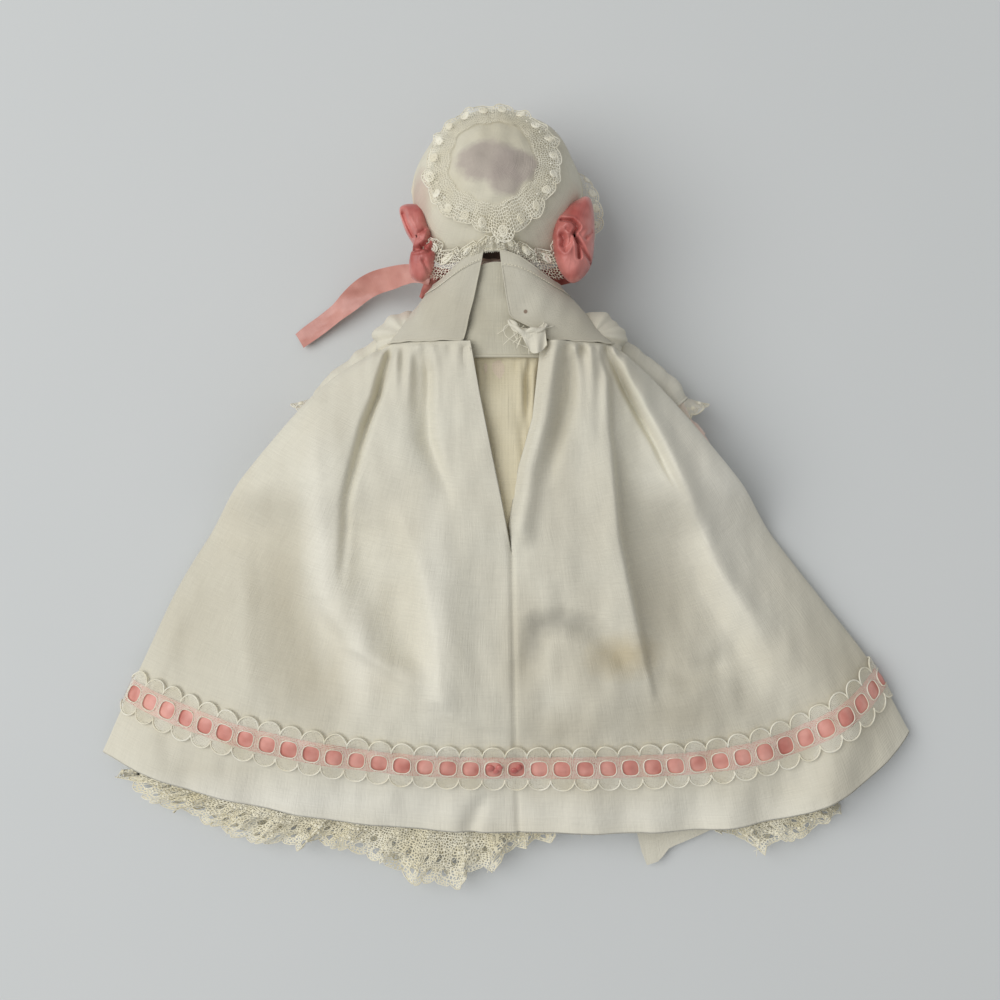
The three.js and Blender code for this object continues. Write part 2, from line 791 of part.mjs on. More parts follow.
const armholeShare = 0.3;
const shoulderRound = 89;
const backArmhole = (share) => lerp(shoulderRound, 76, smoothstep(share, armholeShare, 1));
const frontArmhole = (share) => lerp(182 - shoulderRound, 133, smoothstep(share, 0.05, 0.4));
const slipBackArmhole = (share) => lerp(shoulderRound, 52, smoothstep(share, 0.05, 0.5));
const slipFrontArmhole = (share) => lerp(182 - shoulderRound, 133, smoothstep(share, 0.05, 0.45));
const leftPlacket = () => -11;
const rightPlacket = (share) => lerp(3, 16, smoothstep(share, 0.7, 1));

// Skirts: across runs from -1 at the left outline to 1 at the right, and down from 0 at the yoke
// seam to 1 at the hem

const leftOutline = new THREE.CatmullRomCurve3([
  at(-yokeHalfWidth, yokeSeamY, 0), at(-59.5, 37, 0), at(-86, 8, 0),
  at(-109, -25, 0), at(-125, -58, 0), at(-138, -87, 0),
]);
const rightOutline = new THREE.CatmullRomCurve3([
  at(yokeHalfWidth, yokeSeamY, 0), at(54.5, 36, 0), at(79, 8, 0),
  at(102, -22, 0), at(127, -54, 0), at(142, -80, 0),
]);
const slitEnd = at(3.2, 0, 0);
const slitLeftX = -9.6;
const slitRightX = 14.3;
const skirtRows = [0, 0.06, 0.13, 0.2, 0.3, backSlitShare, 0.5, 0.6, 0.7, beadingTop, beadingBottom, 1];
const slitRow = skirtRows.indexOf(backSlitShare);
const wallWidth = 5;

function skirtPlan(across, down) {
  const edge = (across < 0 ? leftOutline : rightOutline).getPoint(down);
  const side = Math.abs(across);
  const sag = side ** lerp(1.8, across < 0 ? 2.2 : 5, down);
  const middle = lerp(yokeSeamY, hemY, down) - seamGap;
  return { x: side * edge.x, y: lerp(middle, edge.y - seamGap, sag), halfWidth: Math.abs(edge.x) };
}

// How far the skirt's side is held up by the arm beneath it, from 0 to 1
function wingLift(y) {
  return smoothstep(y, -14, 8);
}

function wingUnder(x) {
  return shoulderHeight + sleevePuff + wingGap - 0.15 * Math.max(Math.abs(x) - yokeHalfWidth, 0);
}

// Half width of the part of the skirt that rests on the table, between the raised sides
function trunkAt(side, down) {
  const { halfWidth } = skirtPlan(side, down);
  const { y } = skirtPlan((side * trunkHalfWidth) / halfWidth, down);
  return lerp(halfWidth * 0.9, trunkHalfWidth, wingLift(y));
}

function wallOf(trunk, halfWidth) {
  return Math.min(wallWidth, (halfWidth - trunk) / 2);
}

const feetRoom = kneeHeight + 6.5 + (thighLength + shinLength + 6) * Math.sin(degToRad(kickAngle));
const feetCrest = Math.min(feetRoom + 2 * layer + foldRoom, gownBack);
const feetY = hipY - thighLength - shinLength - footLength;

function crestHeight(y) {
  const overLegs = lerp(gownBack, feetCrest, smoothstep(-y, 0, -feetY));
  return lerp(overLegs, hemHeight, smoothstep(-y, -feetY, -hemY));
}

function skirtBottom(x, y, side, down) {
  const { halfWidth } = skirtPlan(side, down);
  const trunk = trunkAt(side, down);
  const wall = smoothstep(Math.abs(x), trunk, trunk + wallOf(trunk, halfWidth));
  return wingLift(y) * wall * wingUnder(x) + beadingRoom * smoothstep(down, 0.7, beadingTop);
}

// Main folds of the skirt's back: height, width to the left and right, and the course on the table
const skirtFolds = [
  [3.2, 6, 8, [at(-31, 54, 0), at(-33, 30, 0), at(-35, 10, 0), at(-36, -14, 0)]],
  [3, 7, 6, [at(29, 54, 0), at(33, 25, 0), at(35, 0, 0), at(43, -32, 0), at(46, -56, 0)]],
  [4.6, 6, 15, [at(40, 44, 0), at(54, 8, 0), at(66, -14, 0), at(82, -39, 0), at(96, -62, 0)]],
  [4, 10, 9, [at(-60, 32, 0), at(-59, 10, 0), at(-60, -15, 0), at(-56, -35, 0), at(-48, -64, 0)]],
  [3, 10, 7, [at(-23, -6, 0), at(-16, -33, 0), at(-18, -55, 0), at(-5, -74, 0)]],
  [3.6, 14, 6, [at(-87, -8, 0), at(-81, -33, 0), at(-77, -47, 0), at(-78, -70, 0)]],
  [-2.6, 8, 8, [at(-67, -16, 0), at(-70, -30, 0), at(-71, -48, 0), at(-70, -74, 0)]],
  [-2.6, 9, 8, [at(98, -24, 0), at(106, -40, 0), at(112, -52, 0), at(120, -66, 0)]],
];

function foldShape(x, y) {
  return skirtFolds.reduce((total, [height, left, right, course]) => {
    const [top, bottom] = [course[0].y, course[course.length - 1].y];
    if (y > top || y < bottom) return total;
    const below = course.findIndex((corner) => corner.y <= y);
    const [from, to] = [course[Math.max(below, 1) - 1], course[Math.max(below, 1)]];
    const crest = lerp(from.x, to.x, (from.y - y) / (from.y - to.y));
    const fade = smoothstep(y, bottom, lerp(bottom, top, 0.35)) * smoothstep(-y, -top, -lerp(top, bottom, 0.25));
    return total + height * fade * bump(x, crest, x < crest ? left : right);
  }, 0);
}

function skirtTop(x, y, across, down, folds = foldShape(x, y)) {
  const side = Math.abs(across);
  const edge = lerp(hemEdgeHeight, wingUnder(x) + wingDepth, wingLift(y));
  const drape = lerp(edge, crestHeight(y), 1 - side ** 2.4);
  const yokeShape = yokeCut.centreZ
    + yokeCut.halfDepth * (1 - Math.min(side, 1) ** 2.8) ** (1 / 2.8);
  return lerp(Math.max(yokeShape, edge), drape + folds, smoothstep(down, 0, 0.16));
}

const topShares = [0, 0.1, 0.2, 0.3, 0.4, 0.5, 0.6, 0.7, 0.8, 0.9, 0.97, 1];

// The middle of the back: the two edges of the opening, then one seam below it
function openingX(side, down) {
  const open = side < 0 ? slitLeftX : slitRightX;
  return lerp(open, slitEnd.x, Math.min(down / backSlitShare, 1));
}

function topCorner(side, share, down, room) {
  const start = openingX(side, down);
  const { halfWidth } = skirtPlan(Math.sign(start), down);
  const across = lerp(start / halfWidth, side, share);
  return skirtCorner(across, down, room, true);
}

function skirtCorner(across, down, room, onTop) {
  const plan = skirtPlan(across, down);
  const { x } = plan;
  const y = onTop ? plan.y : plan.y - armpitDip * (1 - smoothstep(down, 0, 0.25));
  const top = skirtTop(x, y, across, down) - room;
  const bottom = skirtBottom(x, y, across < 0 ? -1 : 1, down) + room;
  if (Math.abs(across) > 0.9999) return at(x, y, (top + bottom) / 2);
  return at(x, y, onTop ? top : bottom);
}

function bottomShares(side, down) {
  const { halfWidth } = skirtPlan(side, down);
  const trunk = trunkAt(side, down);
  const wall = wallOf(trunk, halfWidth);
  const foot = trunk + wall;
  const places = [
    0, trunk / 3, trunk * 0.67, trunk, trunk + wall * 0.3, trunk + wall * 0.65, foot,
    lerp(foot, halfWidth, 0.35), lerp(foot, halfWidth, 0.7), lerp(foot, halfWidth, 0.93),
  ];
  return places.map((x) => (side * x) / halfWidth);
}

function skirtRing(down, room) {
  const right = topShares.map((share) => topCorner(1, share, down, room));
  const left = topShares.slice().reverse().map((share) => topCorner(-1, share, down, room));
  const underRight = bottomShares(1, down).reverse();
  const underLeft = bottomShares(-1, down).slice(1);
  const under = [...underRight, ...underLeft].map((across) => skirtCorner(across, down, room, false));
  return [...right, ...under, ...left];
}

const gownRows = skirtRows.map((down) => skirtRing(down, 0));

function makeBeading(top, bottom, lift, thickness) {
  const [upper, lower] = [beadingTop, beadingBottom].map((down) => gownRows[skirtRows.indexOf(down)]);
  const grid = [top, bottom].map((share) => upper.map((corner, i) => corner.clone().lerp(lower[i], share)));
  return clothSolid(grid, -thickness, 0, -lift);
}

// Slip: a tube inside the gown, as wide as the torso at the arms

const slipRoom = layer + 0.5;
const slipTopShare = (yokeSeamY - slipSeamY + seamGap) / (yokeSeamY - hemY);

function slipHalfWidth(side, down) {
  const { halfWidth } = skirtPlan(side, down);
  return Math.min(slipShare * halfWidth, trunkAt(side, down) - layer);
}

function slipCorner(turn, down) {
  const [aside, height] = [Math.sin(turn), Math.cos(turn)];
  const side = aside < 0 ? -1 : 1;
  const { halfWidth } = skirtPlan(side, down);
  const across = (power(aside, 0.5) * slipHalfWidth(side, down)) / halfWidth;
  const { x, y: sagged } = skirtPlan(across, down);
  const y = lerp(skirtPlan(0, down).y, sagged, smoothstep(down, slipTopShare, 0.2));
  const top = skirtTop(x, y, across, down, Math.min(foldShape(x, y), 0)) - slipRoom;
  const bottom = beadingRoom * smoothstep(down, 0.7, beadingTop) + layer + seamGap;
  return at(x, y, lerp(bottom, top, (1 + power(height, 0.5)) / 2));
}

const slipTurns = steps(28).map((share) => 2 * Math.PI * share);

function makeSlipSkirt() {
  const between = skirtRows.filter((down) => down > slipTopShare + 0.01 && down < slipHemShare - 0.01);
  const rows = [slipTopShare, ...between, slipHemShare];
  const grid = rows.map((down) => slipTurns.map((turn) => slipCorner(turn, down)));
  return clothSolid(grid, clothThickness, 0);
}

// How far the slip's lace hangs out below the gown's hem at each place across
function laceReach(across) {
  const leftLength = 19 * bump(across, -0.16, 0.24) + 7 * bump(across, -0.7, 0.3);
  const rightLength = 4 * bump(across, 0.6, 0.12);
  return leftLength + rightLength;
}

function makeSlipLace() {
  const start = slipHemShare + (2 * seamGap) / (yokeSeamY - hemY);
  const turns = steps(48).map((share) => 2 * Math.PI * share);
  const grid = steps(2).map((share) => turns.map((turn, k) => {
    const corner = slipCorner(turn, start);
    const side = corner.x < 0 ? -1 : 1;
    const across = (laceFlare * corner.x) / skirtPlan(side, 1).halfWidth;
    const hem = skirtPlan(across, 1);
    const roof = skirtTop(hem.x, hem.y, across, 1) - slipRoom;
    const gather = k % 2 === 0 ? 0.5 : -0.5;
    const upper = Math.cos(turn) > 0;
    const rest = upper ? Math.min(roof, 12) : beadingRoom + layer + seamGap;
    const z = lerp(corner.z, Math.min(corner.z, rest), share) + share * gather;
    const y = lerp(corner.y, hem.y - laceReach(across), share);
    return at(corner.x * lerp(1, laceFlare, share), y, z);
  }));
  return clothSolid(grid, laceThickness, 0);
}

addPiece('head', makeHead(), porcelain);
addPiece('pate', makePate(), card);
addPiece('wig', makeWig(), hair);
eyeCentres().forEach((centre, k) => {
  addPiece(k === 0 ? 'eye_left' : 'eye_right', ball(eyeRadius, centre), eyeGlass);
});
addPiece('torso', makeTorso(), bodyCloth);
addPiece('neck_tie', makeNeckTie(), thread);
[['left', -1], ['right', 1]].forEach(([name, side]) => {
  addPiece(`upper_arm_${name}`, makeUpperArm(side), bodyCloth);
  addPiece(`forearm_${name}`, makeForearm(side), porcelain);
  addPiece(`arm_tie_${name}`, makeArmTie(side), thread);
  addPiece(`sleeve_${name}`, makeSleeve(side), gownCloth);
  addPiece(`cuff_lace_${name}`, makeCuffLace(side), gownLace);
  addPiece(`thigh_${name}`, makeThigh(side), bodyCloth);
  addPiece(`shin_${name}`, makeShin(side), porcelain);
  addPiece(`leg_tie_${name}`, makeLegTie(side), thread);
});
addPiece('slip_bodice_back', bodicePanel(slipCut, (t) => -slipBackArmhole(t), slipBackArmhole, 12), slipCloth);
addPiece('slip_bodice_front', bodicePanel(slipCut, slipFrontArmhole, (t) => 360 - slipFrontArmhole(t), 10),
  slipCloth);
addPiece('slip_skirt', makeSlipSkirt(), slipCloth);
addPiece('slip_lace', makeSlipLace(), slipLaceCotton);
addPiece('gown_yoke_back_left', bodicePanel(yokeCut, (t) => -backArmhole(t), leftPlacket, 8), gownCloth);
addPiece('gown_yoke_back_right', bodicePanel(yokeCut, rightPlacket, backArmhole, 8), gownCloth);
addPiece('gown_yoke_front', bodicePanel(yokeCut, frontArmhole, (t) => 360 - frontArmhole(t), 10), gownCloth);
addPiece('gown_skirt', clothSolid(gownRows, clothThickness, slitRow), gownCloth);
addPiece('beading_lace', makeBeading(0, 1, 0.35, laceThickness), gownLace);
addPiece('beading_ribbon', makeBeading(0.31, 0.69, 0.35 + laceThickness + 0.6, ribbonThickness), satin);
addPiece('bonnet_crown', makeBonnetCrown(), gownCloth);
addPiece('bonnet_band', makeBonnetBand(), gownCloth);
addPiece('crown_lace', makeCrownLace(), gownLace);
addPiece('nape_lace', makeNapeLace(), gownLace);
addPiece('brim_lace', makeBrimLace(), gownLace);
rosetteCentres.forEach((centre, k) => {
  const bow = cut(rosetteForm(centre, 0), bonnetForm(laceLift + laceThickness + 2 * seamGap));
  addPiece(k === 0 ? 'rosette_left' : 'rosette_right', bow, satin);
});
addPiece('chin_ribbon', makeChinRibbon(), satin);
addPiece('ribbon_tail', makeRibbonTail(), satin);

export default doll;
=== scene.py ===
import math

import bmesh
import bpy
import numpy as np
from mathutils import Matrix


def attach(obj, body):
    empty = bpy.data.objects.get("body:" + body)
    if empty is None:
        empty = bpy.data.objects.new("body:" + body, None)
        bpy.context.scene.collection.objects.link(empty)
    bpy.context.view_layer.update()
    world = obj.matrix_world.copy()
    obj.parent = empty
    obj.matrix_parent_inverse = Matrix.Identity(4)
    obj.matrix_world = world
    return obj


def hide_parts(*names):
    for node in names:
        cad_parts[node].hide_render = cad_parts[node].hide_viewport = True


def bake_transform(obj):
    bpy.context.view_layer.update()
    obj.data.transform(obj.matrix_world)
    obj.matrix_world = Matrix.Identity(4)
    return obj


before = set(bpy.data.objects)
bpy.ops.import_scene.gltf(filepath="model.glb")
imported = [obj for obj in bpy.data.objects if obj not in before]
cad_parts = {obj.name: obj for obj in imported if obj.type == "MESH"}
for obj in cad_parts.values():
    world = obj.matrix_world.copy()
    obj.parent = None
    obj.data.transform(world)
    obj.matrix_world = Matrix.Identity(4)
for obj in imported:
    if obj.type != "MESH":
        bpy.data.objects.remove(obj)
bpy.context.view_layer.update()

# Metres in a millimetre
MM = 0.001

# Picture
CAMERA_HEIGHT = 450.0
SEEN_WIDTH = 350.0
SENSOR = 36.0
PICTURE = 1000

# Doll
HEAD = np.array([-1.0, 100.0, 27.0])
HEAD_RADIUS = 24.4
NECK_RADIUS = 9.0
NECK_BOTTOM = 62.5
FLANGE_RADIUS = 11.0
CROWN_OPENING = 11.0
EYE_RADIUS = 4.4
EYE_ASIDE = 9.0
EYE_DEPTH = 3.2
WIG_RADIUS = 26.0
SHOULDER = np.array([25.7, 57.0, 16.5])
ARM_DROP = 35.0
ELBOW_BEND = 20.0
UPPER_ARM = 36.0
FOREARM = 24.0
ELBOW_HEIGHT = 10.5
HAND_HEIGHT = 9.5
ARM_STUB = 2.7
HIP = np.array([11.5, -3.9, 15.0])
THIGH = 24.0
SHIN = 20.0
FOOT = 11.0
LEG_STUB = 3.6
KNEE_HEIGHT = 12.5
ANKLE_HEIGHT = 11.5
TOE_HEIGHT = 6.5
NECK_TIE_Y = 66.8
CHEST = np.array([0, 58.0, 22.0])

# Bonnet
BONNET_RADIUS = 27.4
CROWN_SEAM = 31.0
CROWN_TILT = 12.0
CROWN_LEAN = 3.5
CROWN_LACE = (29.0, 47.0)
NAPE_EDGE = 49.0
FACE_EDGE = 92.0

# Gown and slip
SEAM_Y = 51.0
HEM_Y = -113.0
GOWN_LENGTH = SEAM_Y - HEM_Y
GOWN_BACK = 41.6
HEM_HEIGHT = 16.0
SIDE_HEIGHT = 6.0
SLIT_SHARE = 0.41
BEADING_SHARE = 0.85
BEADING_ROOM = 2.4
RIBBON_WIDTH = 6.4
EYELET_PITCH = 7.6
BEADING_RIBBON = 8.0
YOKE_HALF_WIDTH = 38.0
YOKE_HALF_DEPTH = 20.3
YOKE_MIDDLE = 21.3
YOKE_ROUNDNESS = 2.8
COLLAR = 0.17
TRUNK_HALF_WIDTH = 26.0
WING_HEIGHT = 25.7
WING_SLOPE = 0.15
OVER_LEGS = 35.1
LEGS_REACH = 58.9
HEM_REACH = 117.0
HEM_TURN = 7.0
OPENING_TURN = 4.5
TURNED_ROWS = 3
SLIP_HEM = 0.945
SLIP_LACE_LENGTH = 560.0
SLIP_LACE_WIDTH = 22.0
SLIP_SCALLOPS = 130
RUFFLES = 41
SLEEVE_START = 9.0
SLEEVE_END = 42.0

# Light and table, in metres
LAMP_PLACE = (-1.3, 0.2, 1.72)
LAMP_SIZE = 2.2
LAMP_ENERGY = 33.5
ROOM_TINT = (0.97, 0.98, 1.0, 1.0)
ROOM_LIGHT = 0.39
TABLE_HALF = 3.0
TABLE_DROP = 0.0004


def smooth(value, low, high):
    share = np.clip((value - low) / (high - low), 0, 1)
    return share * share * (3 - 2 * share)


def mix(first, second, share):
    return first + (second - first) * share


def hump(value, centre, width):
    return np.exp(-(((value - centre) / width) ** 2))


def power(value, exponent):
    return np.sign(value) * np.abs(value) ** exponent


def unit(vectors):
    return vectors / np.maximum(np.linalg.norm(vectors, axis=-1, keepdims=True), 1e-9)


def stack(*columns):
    return np.stack(np.broadcast_arrays(*columns), -1)


def spot(across, down, height):
    """The place at that height which the camera sees at that spot of its picture."""
    scale = SEEN_WIDTH / PICTURE * (CAMERA_HEIGHT - height) / CAMERA_HEIGHT
    x, y = np.asarray(across) - PICTURE / 2, PICTURE / 2 - np.asarray(down)
    return stack(x * scale, y * scale, height)


def line(points, share):
    """A smooth line through the points, with share 0 at the first and 1 at the last."""
    points = np.asarray(points, float)
    ends = np.vstack([2 * points[0] - points[1], points, 2 * points[-1] - points[-2]])
    place = np.clip(share, 0, 1) * (len(points) - 1)
    index = np.minimum(np.asarray(place).astype(int), len(points) - 2)
    t = (place - index)[..., None]
    a, b, c, d = (ends[index + k] for k in range(4))
    bend = 2 * a - 5 * b + 4 * c - d
    return b + 0.5 * ((c - a) * t + bend * t**2 + (3 * b - a - 3 * c + d) * t**3)


def uneven(x, y, size, seed, stretch=1.0):
    """Soft unevenness of about -1 to 1, in bumps of that size, longer along y by stretch."""
    random = np.random.default_rng(seed)
    total = 0
    for _ in range(10):
        turn, phase = random.uniform(0, 2 * math.pi, 2)
        wave = random.uniform(0.6, 1.5) * 2 * math.pi / size
        total = total + np.sin((x * math.cos(turn) + y * math.sin(turn) / stretch) * wave + phase)
    return total / 3.2


def near_line(points, x, y):
    """Distance from each place to a line of points."""
    best = np.full(np.shape(x), 1e6)
    for (ax, ay), (bx, by) in zip(points[:-1], points[1:]):
        share = ((x - ax) * (bx - ax) + (y - ay) * (by - ay)) / ((bx - ax) ** 2 + (by - ay) ** 2)
        share = np.clip(share, 0, 1)
        best = np.minimum(best, np.hypot(x - ax - share * (bx - ax), y - ay - share * (by - ay)))
    return best


def lengths_along(points):
    """The length from the first point of a line to each of its points."""
    return np.r_[0, np.cumsum(np.linalg.norm(np.diff(points, axis=0), axis=1))]


# Making pieces

def finished(form, name):
    """The mesh of a form that is done with."""
    mesh = bpy.data.meshes.new(name)
    form.to_mesh(mesh)
    form.free()
    return mesh


def shown(name, data):
    """A new object of the scene with that data."""
    thing = bpy.data.objects.new(name, data)
    bpy.context.scene.collection.objects.link(thing)
    return thing


def sheet_mesh(place, columns, rows, flat, keep=None):
    """A grid of faces laid out by place(u, v), with a UV map of its flat size in millimetres."""
    form = bmesh.new()
    form.loops.layers.uv.new("flat")
    bmesh.ops.create_grid(form, x_segments=columns, y_segments=rows, size=0.5, calc_uvs=True)
    if keep is not None:
        middles = np.array([face.calc_center_median()[:2] for face in form.faces]) + 0.5
        kept = keep(middles[:, 0], middles[:, 1])
        gone = [face for face, stays in zip(form.faces, kept) if not stays]
        bmesh.ops.delete(form, geom=gone, context="FACES")
    mesh = finished(form, "sheet")
    corners = np.empty(len(mesh.vertices) * 3)
    mesh.vertices.foreach_get("co", corners)
    corners = corners.reshape(-1, 3) + 0.5
    mesh.vertices.foreach_set("co", (place(corners[:, 0], corners[:, 1]) * MM).ravel())
    spread = mesh.uv_layers["flat"].data
    places = np.empty(len(mesh.loops) * 2)
    spread.foreach_get("uv", places)
    spread.foreach_set("uv", (places.reshape(-1, 2) * np.array(flat)).ravel())
    return mesh


def cord_mesh(paths, thickness, roundness=1, closed=False):
    """Round cords along lines of points."""
    data = bpy.data.curves.new("cord", "CURVE")
    data.dimensions = "3D"
    data.bevel_depth = thickness / 2 * MM
    data.bevel_resolution = roundness
    data.use_fill_caps = True
    for path in paths:
        spline = data.splines.new("POLY")
        spline.points.add(len(path) - 1)
        spline.points.foreach_set("co", np.c_[np.asarray(path) * MM, np.ones(len(path))].ravel())
        spline.use_cyclic_u = closed
    holder = shown("cord", data)
    graph = bpy.context.evaluated_depsgraph_get()
    mesh = bpy.data.meshes.new_from_object(holder.evaluated_get(graph))
    bpy.data.objects.remove(holder)
    bpy.data.curves.remove(data)
    return mesh


def bead_mesh(centres, normals, radius, height, divisions=2):
    """Raised woven dots, flattened along the surface's normal and none quite like the next."""
    random = np.random.default_rng(23)
    form = bmesh.new()
    for centre, normal in zip(centres, normals):
        turn = Matrix(np.asarray(frame_of(normal)).T.tolist()).to_4x4()
        wide, long = radius * random.uniform(0.75, 1.15, 2) * MM
        spun = Matrix.Rotation(random.uniform(0, 3), 4, "Z")
        shape = Matrix.Diagonal((wide, long, height * MM, 1)) @ spun
        place = Matrix.Translation(centre * MM) @ turn @ shape
        bmesh.ops.create_icosphere(form, subdivisions=divisions, radius=1, matrix=place)
    return finished(form, "beads")


def frame_of(normal):
    """Three square directions, the last of them the normal."""
    upward = unit(np.asarray(normal, float))
    helper = np.array([0.0, 1.0, 0.0]) if abs(upward[1]) < 0.9 else np.array([1.0, 0.0, 0.0])
    aside = unit(np.cross(helper, upward))
    return aside, np.cross(upward, aside), upward


def sides_of(ahead):
    """The directions aside and upward, square to the way ahead."""
    aside = unit(np.cross(ahead, np.broadcast_to((0.0, 0.0, 1.0), ahead.shape)))
    return aside, np.cross(aside, ahead)


def course_sides(course, distance):
    return sides_of(unit(course(distance + 0.5) - course(distance - 0.5)))


def ring_point(centre, sides, turn, wide, high):
    """A point round a centre, on an oval of that half width and half height."""
    aside, upward = sides
    return centre + aside * (wide * np.cos(turn))[..., None] + upward * (high * np.sin(turn))[..., None]


def piece(name, parts, body, slot, *nodes):
    """Joins the meshes, each with its material, into one piece that rides on a body, if one is named."""
    form = bmesh.new()
    form.loops.layers.uv.new("flat")
    materials = []
    for mesh, material in parts:
        start = len(form.faces)
        form.from_mesh(mesh)
        form.faces.ensure_lookup_table()
        if material not in materials:
            materials.append(material)
        for face in form.faces[start:]:
            face.material_index = materials.index(material)
            face.smooth = True
        bpy.data.meshes.remove(mesh)
    bmesh.ops.remove_doubles(form, verts=form.verts, dist=0.000002)
    bmesh.ops.recalc_face_normals(form, faces=form.faces)
    mesh = finished(form, name)
    for material in materials:
        mesh.materials.append(material)
    thing = shown(name, mesh)
    if body:
        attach(thing, body)
    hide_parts(*nodes)
    return thing


# Materials

def put(tree, kind, values=None, **settings):
    node = tree.nodes.new(kind if kind.startswith("Node") else "ShaderNode" + kind)
    for name, value in settings.items():
        setattr(node, name, value)
    for name, value in (values or {}).items():
        if isinstance(value, bpy.types.NodeSocket):
            tree.links.new(value, node.inputs[name])
        else:
            node.inputs[name].default_value = value
    return node


def tint(red, green, blue):
    """A colour as it is seen, from 0 to 255, as the linear colour that a shader takes."""
    return tuple(((c / 255 + 0.055) / 1.055) ** 2.4 for c in (red, green, blue)) + (1.0,)


def number(tree, operation, first, second=0.0, third=0.0):
    node = put(tree, "Math", {0: first, 1: second, 2: third}, operation=operation)
    return node.outputs[0]


def blend(tree, share, first, second):
    node = put(tree, "Mix", {0: share, 6: first, 7: second}, data_type="RGBA")
    return node.outputs[2]


def span(tree, value, low, high, low_out=0.0, high_out=1.0):
    values = {"Value": value, 1: low, 2: high, 3: low_out, 4: high_out}
    return put(tree, "MapRange", values).outputs[0]


def scaled(tree, vector, factors):
    return put(tree, "VectorMath", {0: vector, 1: factors}, operation="MULTIPLY").outputs[0]


def noise(tree, vector, scale, detail=2.0):
    return put(tree, "TexNoise", {"Vector": vector, "Scale": scale, "Detail": detail}).outputs[0]


def node_group(name, inputs, outputs):
    """A shader group with named sockets, and its two ends."""
    group = bpy.data.node_groups.new(name, "ShaderNodeTree")
    for side, sockets in (("INPUT", inputs), ("OUTPUT", outputs)):
        for socket, kind in sockets.items():
            group.interface.new_socket(socket, in_out=side, socket_type="NodeSocket" + kind)
    return group, put(group, "NodeGroupInput"), put(group, "NodeGroupOutput")


def weave_group():
    """Plain weave: uneven warp and weft threads, as a shade around 1 and a height."""
    inputs = {"Flat": "Vector", "Slub": "Float"}
    group, start, end = node_group("weave", inputs, {"Shade": "Float", "Height": "Float"})
    flat = start.outputs["Flat"]
    warp = noise(group, scaled(group, flat, (2.4, 0.09, 1)), 1.0)
    weft = noise(group, scaled(group, flat, (0.09, 2.4, 1)), 1.0)
    parts = put(group, "SeparateXYZ", {0: flat})
    ridges = [number(group, "SINE", number(group, "MULTIPLY", parts.outputs[k], 15.0)) for k in (0, 1)]
    threads = number(group, "MULTIPLY", number(group, "ADD", *ridges), 0.12)
    both = number(group, "SUBTRACT", number(group, "ADD", warp, weft), 1.0)
    shade = number(group, "MULTIPLY_ADD", both, start.outputs["Slub"], 1.0)
    group.links.new(shade, end.inputs["Shade"])
    group.links.new(number(group, "ADD", both, threads), end.inputs["Height"])
    return group


def net_group():
    """Lace net: fine threads round small openings, as a mask that is 1 on a thread."""
    inputs = {"Flat": "Vector", "Thread": "Float", "Cells": "Float"}
    group, start, end = node_group("net", inputs, {"Mask": "Float"})
    values = {"Vector": start.outputs["Flat"], "Scale": start.outputs["Cells"], "Randomness": 0.7}
    cells = put(group, "TexVoronoi", values, feature="DISTANCE_TO_EDGE", voronoi_dimensions="2D")
    mask = number(group, "LESS_THAN", cells.outputs["Distance"], start.outputs["Thread"])
    group.links.new(mask, end.inputs["Mask"])
    return group


WEAVE = weave_group()
NET = net_group()


def new_material(name, roughness, sheen=0.0, **constant):
    material = bpy.data.materials.new(name)
    material.use_nodes = True
    tree = material.node_tree
    tree.nodes.clear()
    surface = put(tree, "BsdfPrincipled", {"Roughness": roughness, "Sheen Weight": sheen})
    for key, value in constant.items():
        surface.inputs[key.replace("_", " ")].default_value = value
    output = put(tree, "OutputMaterial")
    tree.links.new(surface.outputs[0], output.inputs[0])
    return material, tree, surface


def flat_map(tree):
    return put(tree, "UVMap", uv_map="flat").outputs[0]


def object_place(tree):
    return put(tree, "TexCoord").outputs["Object"]


def bumped(tree, surface, height, strength, distance):
    values = {"Strength": strength, "Distance": distance * MM, "Height": height}
    tree.links.new(put(tree, "Bump", values).outputs[0], surface.inputs["Normal"])


def blot(tree, place, centre, radii, ragged=0.5, soft=0.2):
    """A mask for a ragged mark of stain, paint or painted shade and light: 1 inside an oval and 0 outside it.
    """
    away = put(tree, "VectorMath", {0: place, 1: tuple(centre * MM)}, operation="SUBTRACT").outputs[0]
    evened = scaled(tree, away, tuple(1 / (r * MM) for r in radii))
    reach = put(tree, "VectorMath", {0: evened}, operation="LENGTH").outputs["Value"]
    rough = noise(tree, place, 330.0)
    ragged_reach = number(tree, "MULTIPLY_ADD", rough, ragged, reach)
    return span(tree, ragged_reach, 1 - soft + ragged / 2, 1 + soft + ragged / 2, 1.0, 0.0)


def paint(tree, surface, colour):
    tree.links.new(colour, surface.inputs["Base Color"])


def shaded(tree, colour, shade):
    return put(tree, "VectorMath", {0: colour, 3: shade}, operation="SCALE").outputs[0]


# Lays a colour over another through a mask, for stains, paint and painted shade and light
def overpainted(tree, colour, mask, strength, overpaint):
    return blend(tree, number(tree, "MULTIPLY", mask, strength), colour, overpaint)


